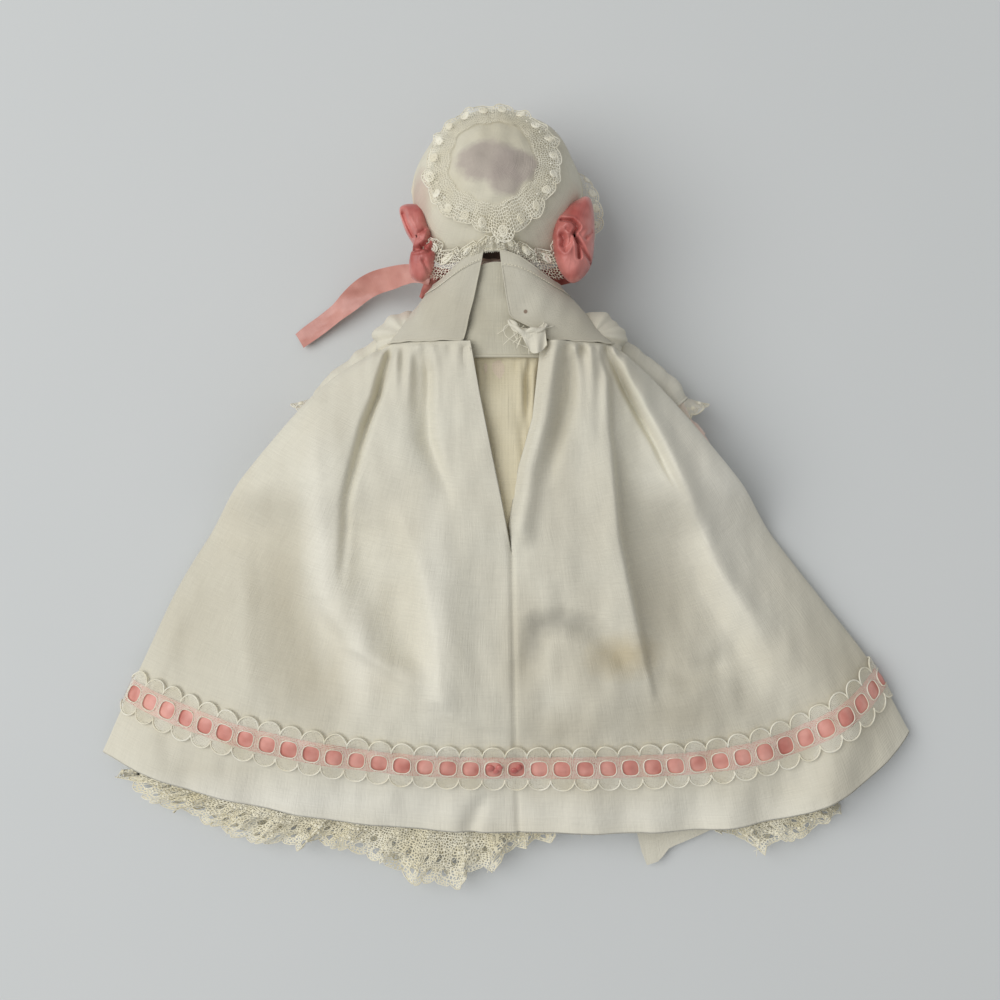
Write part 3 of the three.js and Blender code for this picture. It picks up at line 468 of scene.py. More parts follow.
def cloth_material(name, light, dark, slub=0.12, stains_and_shading=()):
    """Old cotton lawn: yellowed in soft patches, with uneven threads, and with the stains and the painted
    shade and light that it is given.
    """
    material, tree, surface = new_material(name, 0.92, sheen=0.15)
    place = object_place(tree)
    weave = put(tree, "Group", {"Flat": flat_map(tree), "Slub": slub}, node_tree=WEAVE)
    patches = span(tree, noise(tree, place, 28.0, 3.0), 0.32, 0.7)
    colour = blend(tree, patches, light, dark)
    # Stains, and the painted shade and light of the folds, laid over the cloth's colour
    for centre, radii, overpaint, strength, soft in stains_and_shading:
        ragged = 0.5 if soft < 0.8 else 0.15
        mask = blot(tree, place, centre, radii, ragged, soft)
        colour = overpainted(tree, colour, mask, strength, overpaint)
    paint(tree, surface, shaded(tree, colour, weave.outputs["Shade"]))
    creases = noise(tree, scaled(tree, place, (1.0, 0.35, 1.0)), 260.0, 3.0)
    height = number(tree, "MULTIPLY_ADD", creases, 1.6, weave.outputs["Height"])
    bumped(tree, surface, height, 0.45, 0.35)
    return material


def net_material(name, light, dark, thread, cells):
    """Lace net in its own threads, clear between them."""
    material, tree, surface = new_material(name, 0.9, sheen=0.1)
    place = object_place(tree)
    colour = blend(tree, span(tree, noise(tree, place, 90.0), 0.35, 0.65), light, dark)
    paint(tree, surface, colour)
    values = {"Flat": flat_map(tree), "Thread": thread, "Cells": cells}
    net = put(tree, "Group", values, node_tree=NET)
    tree.links.new(net.outputs["Mask"], surface.inputs["Alpha"])
    return material


def cord_material(name, light, dark):
    """Cotton thread, a little yellowed in places and softly twisted."""
    material, tree, surface = new_material(name, 0.85, sheen=0.2)
    place = object_place(tree)
    colour = blend(tree, span(tree, noise(tree, place, 120.0), 0.35, 0.65), light, dark)
    paint(tree, surface, colour)
    bumped(tree, surface, noise(tree, place, 2600.0, 1.0), 0.5, 0.2)
    return material


def satin_material(name, light, dark):
    """Satin ribbon: a soft gloss, fine threads along it, and patches lighter and darker, partly faded and
    partly painted highlight and shade.
    """
    material, tree, surface = new_material(name, 0.33, sheen=0.08, Anisotropic=0.4)
    place = object_place(tree)
    flat = flat_map(tree)
    threads = noise(tree, scaled(tree, flat, (0.15, 6.0, 1)), 1.0)
    # Patches of painted highlight and shade, together with real fading
    fade_and_shading = span(tree, noise(tree, place, 130.0), 0.35, 0.7)
    colour = blend(tree, fade_and_shading, light, dark)
    shade = number(tree, "MULTIPLY_ADD", threads, 0.16, 0.92)
    paint(tree, surface, shaded(tree, colour, shade))
    ripples = noise(tree, scaled(tree, flat, (0.5, 0.25, 1)), 1.0, 3.0)
    bumped(tree, surface, number(tree, "MULTIPLY_ADD", threads, 0.15, ripples), 0.5, 0.5)
    return material


def porcelain_material():
    """Glazed, softly tinted porcelain with blushed cheeks, painted lips and brows."""
    material, tree, surface = new_material("porcelain", 0.28, Coat_Weight=0.3, Coat_Roughness=0.12)
    place = object_place(tree)
    colour = blend(tree, noise(tree, place, 60.0), tint(238, 214, 199), tint(232, 203, 187))
    for aside in (-11, 11):
        cheek = blot(tree, place, HEAD + (aside, -10, -20), (8, 7, 8), 0.2)
        colour = overpainted(tree, colour, cheek, 0.45, tint(222, 140, 125))
        brow = blot(tree, place, HEAD + (aside * 0.82, 9, -20.5), (5.5, 0.9, 6), 0.15)
        colour = overpainted(tree, colour, brow, 0.7, tint(140, 96, 70))
    for aside in (-1.3, 1.3):
        lip = blot(tree, place, HEAD + (aside, -11.6, 3.0 - HEAD_RADIUS), (2.2, 1.5, 4), 0.12)
        colour = overpainted(tree, colour, lip, 0.85, tint(196, 92, 84))
    paint(tree, surface, colour)
    rough = span(tree, noise(tree, place, 700.0), 0.3, 0.7, 0.24, 0.34)
    tree.links.new(rough, surface.inputs["Roughness"])
    return material


def eye_material():
    """Painted glass: dark pupil, blue iris and white, under a clear gloss."""
    material, tree, surface = new_material("eye_glass", 0.05, Coat_Weight=0.6)
    place = object_place(tree)
    flattened = put(tree, "SeparateXYZ", {0: place})
    aside = number(tree, "ABSOLUTE", number(tree, "SUBTRACT", flattened.outputs[0], HEAD[0] * MM))
    across = number(tree, "SUBTRACT", aside, EYE_ASIDE * MM)
    along = number(tree, "SUBTRACT", flattened.outputs[1], (HEAD[1] + 1) * MM)
    joined = put(tree, "CombineXYZ", {0: across, 1: along})
    reach = put(tree, "VectorMath", {0: joined.outputs[0]}, operation="LENGTH").outputs["Value"]
    streaks = span(tree, noise(tree, place, 1400.0), 0.3, 0.7)
    iris = blend(tree, streaks, tint(66, 98, 128), tint(40, 66, 94))
    ball = blend(tree, span(tree, reach, 2.5 * MM, 2.75 * MM), iris, tint(232, 230, 224))
    pupil = blend(tree, span(tree, reach, 1.0 * MM, 1.2 * MM), tint(12, 12, 14), ball)
    paint(tree, surface, pupil)
    return material


def hair_material():
    """Brown mohair combed from the crown."""
    material, tree, surface = new_material("hair", 0.6, sheen=0.3)
    flat = flat_map(tree)
    strands = noise(tree, scaled(tree, flat, (3.0, 0.08, 1)), 1.0, 3.0)
    colour = blend(tree, strands, tint(38, 22, 14), tint(92, 60, 40))
    paint(tree, surface, colour)
    bumped(tree, surface, strands, 0.8, 0.4)
    return material


def card_material():
    """Grey-brown pressed card with fibres."""
    material, tree, surface = new_material("card", 0.9)
    place = object_place(tree)
    fibres = noise(tree, scaled(tree, place, (1, 3, 1)), 500.0, 4.0)
    colour = blend(tree, fibres, tint(150, 128, 100), tint(178, 156, 126))
    paint(tree, surface, colour)
    bumped(tree, surface, fibres, 0.4, 0.2)
    return material


def table_material():
    """Pale grey paper-smooth table top."""
    material, tree, surface = new_material("table", 0.8)
    place = object_place(tree)
    colour = blend(tree, noise(tree, place, 9.0, 2.0), tint(209, 212, 211), tint(213, 215, 214))
    paint(tree, surface, colour)
    return material


CREAM = (tint(225, 221, 204), tint(220, 214, 195))
# Colours of the painted shade and the painted light on the gown
PAINTED_SHADE, PAINTED_LIGHT = tint(186, 178, 156), tint(242, 239, 226)

# Painted shade and painted light on the gown, standing in for the shading of its folds: a spot of the
# picture and its height, then half width, half length, colour and strength
PAINTED_FOLD_SHADING = [
    (200, 630, 14, 24, 34, PAINTED_SHADE, 0.5),
    (300, 800, 12, 56, 6, PAINTED_LIGHT, 0.7),
    (640, 815, 12, 50, 5, PAINTED_LIGHT, 0.5),
    (282, 595, 24, 8, 24, PAINTED_SHADE, 0.65),
    (312, 680, 20, 9, 14, PAINTED_SHADE, 0.65),
    (680, 600, 26, 9, 26, PAINTED_SHADE, 0.6),
    (672, 712, 20, 20, 8, PAINTED_SHADE, 0.6),
    (522, 665, 31, 5, 17, PAINTED_SHADE, 0.55),
    (590, 665, 30, 8, 8, PAINTED_SHADE, 0.5),
    (560, 730, 26, 10, 6, PAINTED_SHADE, 0.5),
    (855, 690, 10, 12, 22, PAINTED_SHADE, 0.7),
    (560, 430, 41, 4, 14, PAINTED_SHADE, 0.4),
    (735, 480, 28, 20, 34, PAINTED_LIGHT, 0.8),
    (436, 620, 33, 4, 30, PAINTED_LIGHT, 0.5),
    (325, 545, 28, 5, 24, PAINTED_LIGHT, 0.6),
    (362, 650, 26, 5, 14, PAINTED_LIGHT, 0.5),
]
# How deep and how soft the blots of painted shade and painted light are
PAINTED_SHADING_DEPTH = 30
PAINTED_SHADING_SOFTNESS = 0.9

# Stains and painted shade and light: middle, half sizes, colour, strength and how soft the edge is
GOWN_STAINS_AND_SHADING = [(spot(*row[:3]), (*row[3:5], PAINTED_SHADING_DEPTH), *row[5:], PAINTED_SHADING_SOFTNESS) for row in PAINTED_FOLD_SHADING]
GOWN_STAINS_AND_SHADING += [
    # Grey arc: partly dirt and partly painted shade along the dent in the cloth
    (spot(556, 622, 33), (8, 3.6, 14), tint(150, 148, 138), 0.45, 0.7),
    (spot(584, 628, 33), (5, 3.6, 14), tint(156, 152, 138), 0.35, 0.7),
    (spot(534, 641, 33), (3, 7, 14), tint(152, 149, 138), 0.45, 0.7),
    (spot(624, 656, 30), (9, 5.5, 14), tint(192, 170, 118), 0.45, 0.7),
    (spot(402, 302, 38), (4, 4, 14), tint(205, 150, 136), 0.3, 0.5),
    (spot(525.5, 312, 42), (0.6, 0.6, 8), tint(120, 92, 72), 0.8, 0.2),
]
BONNET_STAINS = [
    (spot(486, 160, 54), (9.5, 6.4, 12), tint(182, 170, 160), 0.85, 0.2),
    (spot(516, 164, 54), (7.5, 5, 12), tint(182, 170, 160), 0.85, 0.2),
    (spot(505, 181, 53), (5, 4.5, 12), tint(182, 170, 160), 0.8, 0.2),
    (spot(421, 200, 34), (4, 8, 16), tint(190, 150, 140), 0.45, 0.4),
]
gown_cloth = cloth_material("gown_cloth", *CREAM, stains_and_shading=GOWN_STAINS_AND_SHADING)
bonnet_cloth = cloth_material("bonnet_cloth", tint(225, 221, 203), tint(212, 205, 182), stains_and_shading=BONNET_STAINS)
slip_cloth = cloth_material("slip_cloth", tint(226, 217, 189), tint(212, 201, 169))
yoke_cloth = cloth_material("yoke_cloth", tint(212, 208, 192), tint(200, 194, 175), stains_and_shading=GOWN_STAINS_AND_SHADING)
# The slip bodice's cloth: greyer than the slip's, and darker as painted shade of its recess in the back
# opening
shaded_bodice_cloth = cloth_material("shaded_bodice_cloth", tint(210, 206, 188), tint(197, 191, 170))
body_cloth = cloth_material("body_cloth", tint(226, 212, 192), tint(212, 196, 172), slub=0.06)
gown_net = net_material("gown_net", tint(244, 240, 224), tint(232, 225, 202), 0.15, 2.0)
bonnet_net = net_material("bonnet_net", tint(242, 238, 221), tint(231, 224, 200), 0.12, 1.3)
gown_thread = cord_material("gown_thread", tint(243, 239, 222), tint(231, 224, 200))
slip_net = net_material("slip_net", tint(243, 237, 214), tint(230, 221, 190), 0.19, 1.3)
slip_thread = cord_material("slip_thread", tint(245, 240, 220), tint(232, 224, 196))
satin = satin_material("satin", tint(218, 138, 129), tint(176, 88, 81))
faded_satin = satin_material("faded_satin", tint(210, 152, 139), tint(190, 128, 116))
# The beading ribbon's satin is lighter than the bows': painted light that offsets the shade of the net over
# it
band_satin = satin_material("band_satin", tint(234, 170, 156), tint(200, 122, 110))
porcelain = porcelain_material()
eye_glass = eye_material()
hair = hair_material()
card = card_material()
binding_thread = cord_material("binding_thread", tint(214, 206, 190), tint(196, 186, 166))


# Skirt of the gown: across runs from -1 at its left side to 1 at its right, down from 0 at the yoke
# seam to 1 at the hem

LEFT_SIDE = [(-38, 51), (-59.5, 37), (-86, 8), (-109, -25), (-125, -58), (-138, -87)]
RIGHT_SIDE = [(38, 51), (54.5, 36), (79, 8), (102, -22), (127, -54), (142, -80)]
# The edges of the back opening, left and right, from the hem up: y and x
OPENING = {
    -1: np.array([(-117, 6.6), (-78, 4.9), (-17.6, 3.9), (-13.5, 3.2), (0.3, 0.6), (19.9, -3.5),
                  (34, -6.4), (53.8, -9.9)]),
    1: np.array([(-117, 6.6), (-78, 4.9), (-17.6, 3.9), (-8.3, 2.6), (-4.2, 3.2), (10.9, 5.8),
                 (26.3, 10.25), (46.8, 12.5), (51, 13.5)]),
}

# Folds with a lip, as the camera sees them: width to the left and right in millimetres and how soft
# the lip is, then spots of the picture with the cloth's rise left and right of the lip
PLEATS = [
    (8, 18, 0.8, [(600, 352, 0.3, -0.3), (609, 379, 0.8, -1.0), (611, 430, 1.2, -1.8), (617, 489, 2.0, -3.4),
                 (622, 539, 2.4, -4.4), (634, 598, 2.2, -3.6), (647, 657, 1.2, -1.8), (651, 676, 0.6, -0.9),
                 (656, 705, 0, 0)]),
]

# Round folds: widths, then spots with the fold's height
RIDGES = [
    (1.4, 1.7, [(392, 342, -0.8), (389, 352, -2.6), (377, 396, -3.6), (366, 425, -3.0), (360, 447, -2.4),
                (352, 480, -1.8), (347, 506, -1.4), (343, 565, -0.6), (342, 590, 0)]),
    (4, 2.2, [(418, 342, -0.4), (427, 371, -2.0), (426, 404, -2.6), (428, 438, -2.4), (436, 462, -1.8),
              (444, 485, -1.0), (452, 515, 0)]),
    (4, 2.5, [(574, 342, -0.4), (571, 362, -1.8), (568, 400, -2.2), (561, 430, -1.8), (554, 455, -1.2),
              (545, 490, 0)]),
    (1.5, 1.6, [(606, 342, -0.6), (613, 362, -2.2), (625, 388, -3.0), (638, 413, -2.8), (655, 445, -2.0),
                (672, 480, -1.2), (681, 497, -0.6), (690, 515, 0)]),
    (3.2, 5, [(612, 345, 0.4), (622, 365, 1.6), (640, 400, 2.4), (655, 430, 2.6), (672, 465, 2.4),
              (684, 495, 2.0), (700, 530, 1.6), (714, 565, 1.2), (748, 615, 0.5), (760, 640, 0)]),
    (20, 7, [(296, 500, 0), (300, 540, -1.4), (297, 565, -2.2), (304, 595, -2.6), (318, 617, -2.8),
             (334, 640, -2.8), (339, 670, -2.6), (341, 700, -2.0), (340, 725, -1.0), (338, 745, 0)]),
    (9, 7, [(226, 500, 0), (240, 545, 1.0), (244, 590, 1.4), (246, 640, 1.4), (244, 690, 1.0),
            (240, 730, 0)]),
    (15, 6, [(668, 500, 0), (682, 540, -1.2), (694, 580, -1.8), (716, 620, -2.0), (738, 655, -1.8),
             (752, 690, -1.0), (762, 720, 0)]),
    (9, 16, [(670, 460, 0), (684, 495, 0.6), (714, 565, 1.8), (748, 615, 2.6), (775, 655, 2.2),
             (790, 680, 1.0), (800, 705, 0)]),
    (12, 16, [(797, 580, 0), (803, 640, 1.0), (815, 670, 1.6), (835, 705, 2.2), (845, 745, 2.6),
              (834, 790, 2.6), (826, 830, 2.4)]),
    (7, 12, [(312, 385, 0), (314, 404, 1.0), (322, 450, 1.8), (326, 489, 2.2), (318, 540, 2.6),
             (314, 565, 2.8), (322, 595, 2.8), (335, 615, 2.4), (350, 635, 1.6), (352, 665, 1.0),
             (354, 700, 0.6), (356, 730, 0)]),
    (5, 9, [(325, 600, 0), (335, 615, 0.8), (360, 649, 2.0), (385, 664, 2.0), (411, 683, 1.6),
            (425, 697, 0.8), (436, 712, 0)]),
    (4, 11, [(400, 500, 0), (406, 522, 1.2), (420, 560, 2.2), (428, 582, 2.6), (440, 641, 2.6),
             (444, 700, 2.0), (455, 715, 1.2), (487, 734, 0)]),
    (8, 8, [(375, 520, 0), (385, 560, -1.2), (392, 600, -1.8), (402, 640, -1.4), (415, 670, 0)]),
    (5, 5, [(352, 500, 0), (358, 530, -1.4), (360, 560, -1.6), (362, 590, -0.8), (365, 610, 0)]),
    (7, 7, [(202, 590, 0), (192, 635, -1.6), (182, 680, -1.0), (178, 705, 0)]),
    (4, 3, [(484, 792, 0), (478, 808, -1.2), (471, 828, -1.5)]),
]

# Dents and swells along a line: width, height and spots of the picture
DENTS = [
    (4.2, -1.1, [(528, 662), (531, 642), (540, 627), (565, 620), (590, 626), (605, 640), (625, 660),
                 (645, 668)]),
    (9, 0.8, [(578, 678), (605, 694)]),
    (4, -1.2, [(668, 672), (690, 675), (715, 668)]),
]
FOLD_DEPTH = 1.8

# The corner of the front that shows below the hem: x and how far it hangs out
FRONT_FLAP = np.array([(47, 0), (50.5, 14), (55.5, 12.5), (59, 8), (80, 0)])


def skirt_plan(across, down):
    """A point of the skirt seen from above, and how far its side is from the middle."""
    left, right = line(LEFT_SIDE, down), line(RIGHT_SIDE, down)
    side = np.abs(across)
    edge = np.where((across < 0)[..., None], left, right)
    sag = side ** mix(1.8, np.where(across < 0, 2.2, 5.0), down)
    raised = 1.0 * smooth(down, 0.8, 1) * hump(across, -0.3, 0.35)
    middle = mix(SEAM_Y, HEM_Y, down) - 0.4 + raised
    return side * edge[..., 0], mix(middle, edge[..., 1] - 0.4, sag), np.abs(edge[..., 0])


def wing_lift(y):
    """How far the arm beneath holds the skirt's side up, from 0 to 1."""
    return smooth(y, -14, 8)


def wing_under(x):
    """The height of the skirt's underside over an arm."""
    return WING_HEIGHT - WING_SLOPE * np.maximum(np.abs(x) - YOKE_HALF_WIDTH, 0)


def skirt_half(side, down):
    """The skirt's width from its middle line to the side asked for."""
    return np.where(side < 0, -line(LEFT_SIDE, down)[..., 0], line(RIGHT_SIDE, down)[..., 0])


def trunk_half(y, half):
    """Half the width of the part that lies on the table, between the sides held up by the arms."""
    return mix(half * 0.9, TRUNK_HALF_WIDTH, wing_lift(y))


def crest(y):
    """The height of the gown along its middle line."""
    over_legs = mix(GOWN_BACK, OVER_LEGS, smooth(-y, 0, LEGS_REACH))
    return mix(over_legs, HEM_HEIGHT, smooth(-y, LEGS_REACH, HEM_REACH))


def skirt_bottom(x, y, half, down):
    """The height of the skirt's underside, on the table or over an arm."""
    trunk = trunk_half(y, half)
    wall = smooth(np.abs(x), trunk, trunk + np.minimum(5, (half - trunk) / 2))
    return wing_lift(y) * wall * wing_under(x) + BEADING_ROOM * smooth(down, 0.7, 0.8)


def skirt_drape(x, y, across, down):
    """The height of the gown's back without its folds and gathers."""
    side = np.minimum(np.abs(across), 1)
    edge = mix(SIDE_HEIGHT, wing_under(x) + 4.5, wing_lift(y))
    drape = mix(edge, crest(y) - 2.0 * down, 1 - side**2.4)
    yoke = YOKE_MIDDLE + YOKE_HALF_DEPTH * (1 - side**YOKE_ROUNDNESS) ** (1 / YOKE_ROUNDNESS)
    return mix(np.maximum(yoke, edge), drape, smooth(down, 0, 0.16))


def on_skirt(rows):
    """The places on the skirt which the camera sees at those spots of its picture."""
    rows = np.array(rows, float)
    height = GOWN_BACK
    for _ in range(4):
        places = spot(rows[:, 0], rows[:, 1], height)
        down = (SEAM_Y - places[:, 1]) / GOWN_LENGTH
        half = skirt_half(places[:, 0], down)
        height = skirt_drape(places[:, 0], places[:, 1], places[:, 0] / half, down)
    return places[:, :2], rows[:, 2:]


PLEAT_LINES = [(left, right, soft, *on_skirt(rows)) for left, right, soft, rows in PLEATS]
RIDGE_LINES = [(left, right, *on_skirt(rows)) for left, right, rows in RIDGES]
DENT_LINES = [(width, height, on_skirt(rows)[0]) for width, height, rows in DENTS]


def along_fold(places, rises, y):
    """Where a fold runs at each y, and its heights there."""
    return [np.interp(y, places[::-1, 1], column[::-1]) for column in (places[:, 0], *rises.T)]


def folds(x, y):
    """How far all the folds together raise or lower the cloth."""
    total = 0
    for left, right, soft, places, rises in PLEAT_LINES:
        lip, before, after = along_fold(places, rises, y)
        past = (1 + np.tanh((x - lip) / soft)) / 2
        total = total + (1 - past) * before * hump(x, lip, left) + past * after * hump(x, lip, right)
    for left, right, places, rises in RIDGE_LINES:
        crest_x, height = along_fold(places, rises, y)
        total = total + height * hump(x, crest_x, np.where(x < crest_x, left, right))
    for width, height, places in DENT_LINES:
        total = total + height * hump(near_line(places, x, y), 0, width)
    return FOLD_DEPTH * total


def gathers(x, down, seed, near):
    """Small gathers below a seam, fading out downwards."""
    return uneven(x, down * GOWN_LENGTH, 5.2, seed, 6.0) * np.exp(-down / near)


def gown_top(x, y, half, across, down):
    """How high the gown's back lies, with its folds and gathers."""
    top = skirt_drape(x, y, across, down)
    top = top + (1.2 * (1 - smooth(down, 0.3, 0.6)) + folds(x, y)) * smooth(down, 0, 0.05)
    gathered = 0.6 + 2.2 * hump(x, -30, 10) + 2.2 * hump(x, 31, 9)
    top = top + gathered * gathers(x, down, 3, 0.07) * smooth(down, 0.0, 0.02)
    top = top + 0.8 * uneven(x, y, 38, 5, 1.6) * smooth(down, 0.05, 0.3)
    top = top + 0.16 * uneven(x, y, 9, 6, 2.2) * smooth(down, 0.03, 0.2)
    top = top + 1.1 * uneven(x, 0.3 * y, 24, 8) * smooth(down, 0.86, 0.98)
    return np.maximum(top, skirt_bottom(x, y, half, down) + 1.4)


def side_share(across):
    """How far a point is from the side seam, from 0 on it to 1 a little way in."""
    return np.sqrt(1 - np.clip((np.abs(across) - 0.93) / 0.07, 0, 1) ** 2)


def gown_surface(across, down):
    """A point of the gown's back, without the turned edges of its opening and hem."""
    x, y, half = skirt_plan(across, down)
    top = gown_top(x, y, half, across, down)
    bottom = skirt_bottom(x, y, half, down)
    return stack(x, y, mix((top + bottom) / 2, top, side_share(across)))


def opening_x(side, down):
    """Where the left or right edge of the back opening runs."""
    return np.interp(mix(SEAM_Y, HEM_Y, down), *OPENING[side].T)


def gown_back_panel(side, columns, rows):
    """One half of the gown's back, from its side to the opening, with the opening's edge and the
    hem turned under."""
    def place(u, v):
        main = np.minimum(u * (columns + TURNED_ROWS) / columns, 1)
        under = np.maximum(u * (columns + TURNED_ROWS) - columns, 0) / TURNED_ROWS
        turned = np.maximum(v * (rows + TURNED_ROWS) - rows, 0) / TURNED_ROWS
        down = np.minimum(v * (rows + TURNED_ROWS) / rows, 1) - turned * HEM_TURN / GOWN_LENGTH
        edge_x = opening_x(side, down)
        across = mix(side * 1.0, edge_x / skirt_half(edge_x, down), main)
        points = gown_surface(across, down)
        slit = 1 - smooth(down, 0.36, SLIT_SHARE)
        away = np.abs(points[..., 0] - edge_x)
        if side > 0:
            points[..., 2] += slit * (3.2 * hump(away, 4.4, 3.6) - 2.4 * hump(away, 0, 1.8))
        else:
            points[..., 2] += slit * 0.5 * hump(away, 0, 8)
        points[..., 2] -= (1 - slit) * 0.9 * hump(away, 0, 0.9)
        points[..., 0] += slit * side * under * OPENING_TURN
        points[..., 2] -= slit * 0.8 * np.minimum(under * TURNED_ROWS, 1)
        points[..., 2] -= side_share(across) * np.minimum(turned * TURNED_ROWS, 1)
        return points
    return sheet_mesh(place, columns + TURNED_ROWS, rows + TURNED_ROWS, (140, GOWN_LENGTH))


def gown_under(across, down):
    """A point of the gown's front, which lies on the table and over the arms."""
    x, y, half = skirt_plan(across, down)
    y = y - 8 * (1 - smooth(down, 0, 0.25))
    bottom = skirt_bottom(x, y, half, down)
    top = gown_top(x, y, half, across, down)
    waves = 0.3 * (1 + uneven(x, y, 26, 11, 2.0)) * smooth(down, 0.1, 0.4)
    y = y - smooth(down, 0.85, 1) * np.interp(x, *FRONT_FLAP.T)
    return stack(x, y, mix((top + bottom) / 2, bottom + 0.2 + waves, side_share(across)))


def gown_front_panel():
    return sheet_mesh(lambda u, v: gown_under(2 * u - 1, v), 150, 120, (280, GOWN_LENGTH))


# Lace

def surface_normal(surface, u, v):
    step = 0.3
    along = surface(u + step, v) - surface(u - step, v)
    across = surface(u, v + step) - surface(u, v - step)
    return unit(np.cross(along, across))


def lifted(surface, u, v, lift):
    return surface(u, v) + surface_normal(surface, u, v) * np.asarray(lift)[..., None]


def lay_cords(surface, flat_paths, thickness, lift, closed=False, roundness=0):
    """Cords drawn on a surface's flat places."""
    sizes = [len(path) for path in flat_paths]
    joined = np.vstack(flat_paths)
    points = lifted(surface, joined[:, 0], joined[:, 1], np.full(len(joined), lift))
    return cord_mesh(np.split(points, np.cumsum(sizes)[:-1]), thickness, roundness, closed)


def lay_beads(surface, places, radius, height, lift, divisions=2):
    places = np.asarray(places, float)
    normals = surface_normal(surface, places[:, 0], places[:, 1])
    points = surface(places[:, 0], places[:, 1]) + normals * lift
    return bead_mesh(points, normals, radius, height, divisions)


def arch(start, width, low, high, count=9):
    turn = np.linspace(0, math.pi, count)
    return np.c_[start + width * (1 - np.cos(turn)) / 2, mix(low, high, np.sin(turn))]


def coil(centre_u, centre_v, radius, count=22):
    """A flat coil of thread, from its middle outwards."""
    turn = np.linspace(0, 4.7 * math.pi, count)
    reach = radius * np.linspace(0.12, 1, count)
    return np.c_[centre_u + reach * np.cos(turn), centre_v + reach * np.sin(turn)]


def oval(centre_u, centre_v, half_u, half_v, squareness=0.55, count=16):
    turn = np.linspace(0, 2 * math.pi, count, endpoint=False)
    return np.c_[centre_u + half_u * power(np.cos(turn), squareness),
                 centre_v + half_v * power(np.sin(turn), squareness)]


def scallop(u, pitch, roundness=0.7):
    """How far out a scalloped edge is at each place, from 0 to 1."""
    return np.abs(np.sin(math.pi * u / pitch)) ** roundness


def band_course():
    """The beading lace's course round the skirt: places across, and the lengths on top and under."""
    across = np.linspace(-1, 1, 700)
    down = np.full_like(across, BEADING_SHARE)
    top = gown_surface(across, down)
    under = gown_under(across, down)[::-1]
    return across, [lengths_along(top), lengths_along(under)]


COURSE_ACROSS, (TOP_COURSE, UNDER_COURSE) = band_course()
BAND_LENGTH = TOP_COURSE[-1] + UNDER_COURSE[-1]


def band_surface(u, v):
    """A point of the gown under the beading lace, by length along it and aside of it."""
    u = np.mod(u, BAND_LENGTH)
    on_top = u <= TOP_COURSE[-1]
    top_across = np.interp(u, TOP_COURSE, COURSE_ACROSS)
    under_across = np.interp(u - TOP_COURSE[-1], UNDER_COURSE, -COURSE_ACROSS)
    down = BEADING_SHARE - v / GOWN_LENGTH
    top = gown_surface(top_across, down)
    under = gown_under(under_across, down)
    return np.where(on_top[..., None], top, under)


def beading_lace():
    count = round(BAND_LENGTH / EYELET_PITCH)
    pitch = BAND_LENGTH / count
    window = (2.95, 2.95)
    header, reach = 4.2, 8.0

    def edge(u):
        return header + (reach - header) * scallop(u, pitch, 0.6)

    def keep(u, v):
        u, v = u * BAND_LENGTH, (v - 0.5) * 2 * reach
        from_window = np.mod(u, pitch) - pitch / 2
        inside = np.abs(from_window / window[0]) ** 3 + np.abs(v / window[1]) ** 3 < 1
        return (np.abs(v) < edge(u)) & ~inside

    def place(u, v):
        return lifted(band_surface, u * BAND_LENGTH, (v - 0.5) * 2 * reach, np.full_like(u, 1.1))

    net = sheet_mesh(place, 1060, 28, (BAND_LENGTH, 2 * reach), keep)
    starts = np.arange(count) * pitch
    rings = [oval(s + pitch / 2, 0, *window, 0.72) for s in starts]
    arches = [arch(s, pitch, side * header, side * reach, 12) for s in starts for side in (1, -1)]
    parts = [
        (net, gown_net),
        (lay_cords(band_surface, rings, 0.4, 1.15, closed=True), gown_thread),
        (lay_cords(band_surface, arches, 0.6, 1.15), gown_thread),
    ]
    return piece("beading_lace_band", parts, "torso", "gown_lace", "beading_lace"), pitch


def beading_ribbon(pitch):
    random = np.random.default_rng(21)
    tilts = random.uniform(-0.55, 0.55, 200)
    swells = random.uniform(0.55, 1.0, 200)

    def place(u, v):
        u = u * BAND_LENGTH
        index = np.floor(u / pitch).astype(int) % 200
        window = np.sin(math.pi * np.mod(u, pitch) / pitch) ** 2
        aside = (v - 0.5) * BEADING_RIBBON
        bulge = window * (0.9 * swells[index] * (1 - (2 * v - 1) ** 2) + tilts[index] * (2 * v - 1) * 0.5)
        return lifted(band_surface, u, aside, 0.45 + bulge)

    mesh = sheet_mesh(place, 620, 8, (BAND_LENGTH, BEADING_RIBBON))
    join = math.floor(np.interp(-0.03, COURSE_ACROSS, TOP_COURSE) / pitch)
    lumps = ((0.35, 0.5), (0.6, -0.6), (0.75, 0.7), (1.4, -0.5), (1.6, 0.6))
    spots = [((join + along) * pitch, aside) for along, aside in lumps]
    parts = [(mesh, band_satin), (lay_beads(band_surface, spots, 1.4, 0.6, 1.2), satin)]
    return piece("beading_ribbon_band", parts, "torso", "satin", "beading_ribbon")


# Slip

def slip_half_width(side, down):
    """The slip's half width, and the gown's at the same place."""
    half = skirt_half(side, down)
    trunk = trunk_half(mix(SEAM_Y, HEM_Y, down), half)
    return np.minimum(0.74 * half, trunk - 2), half


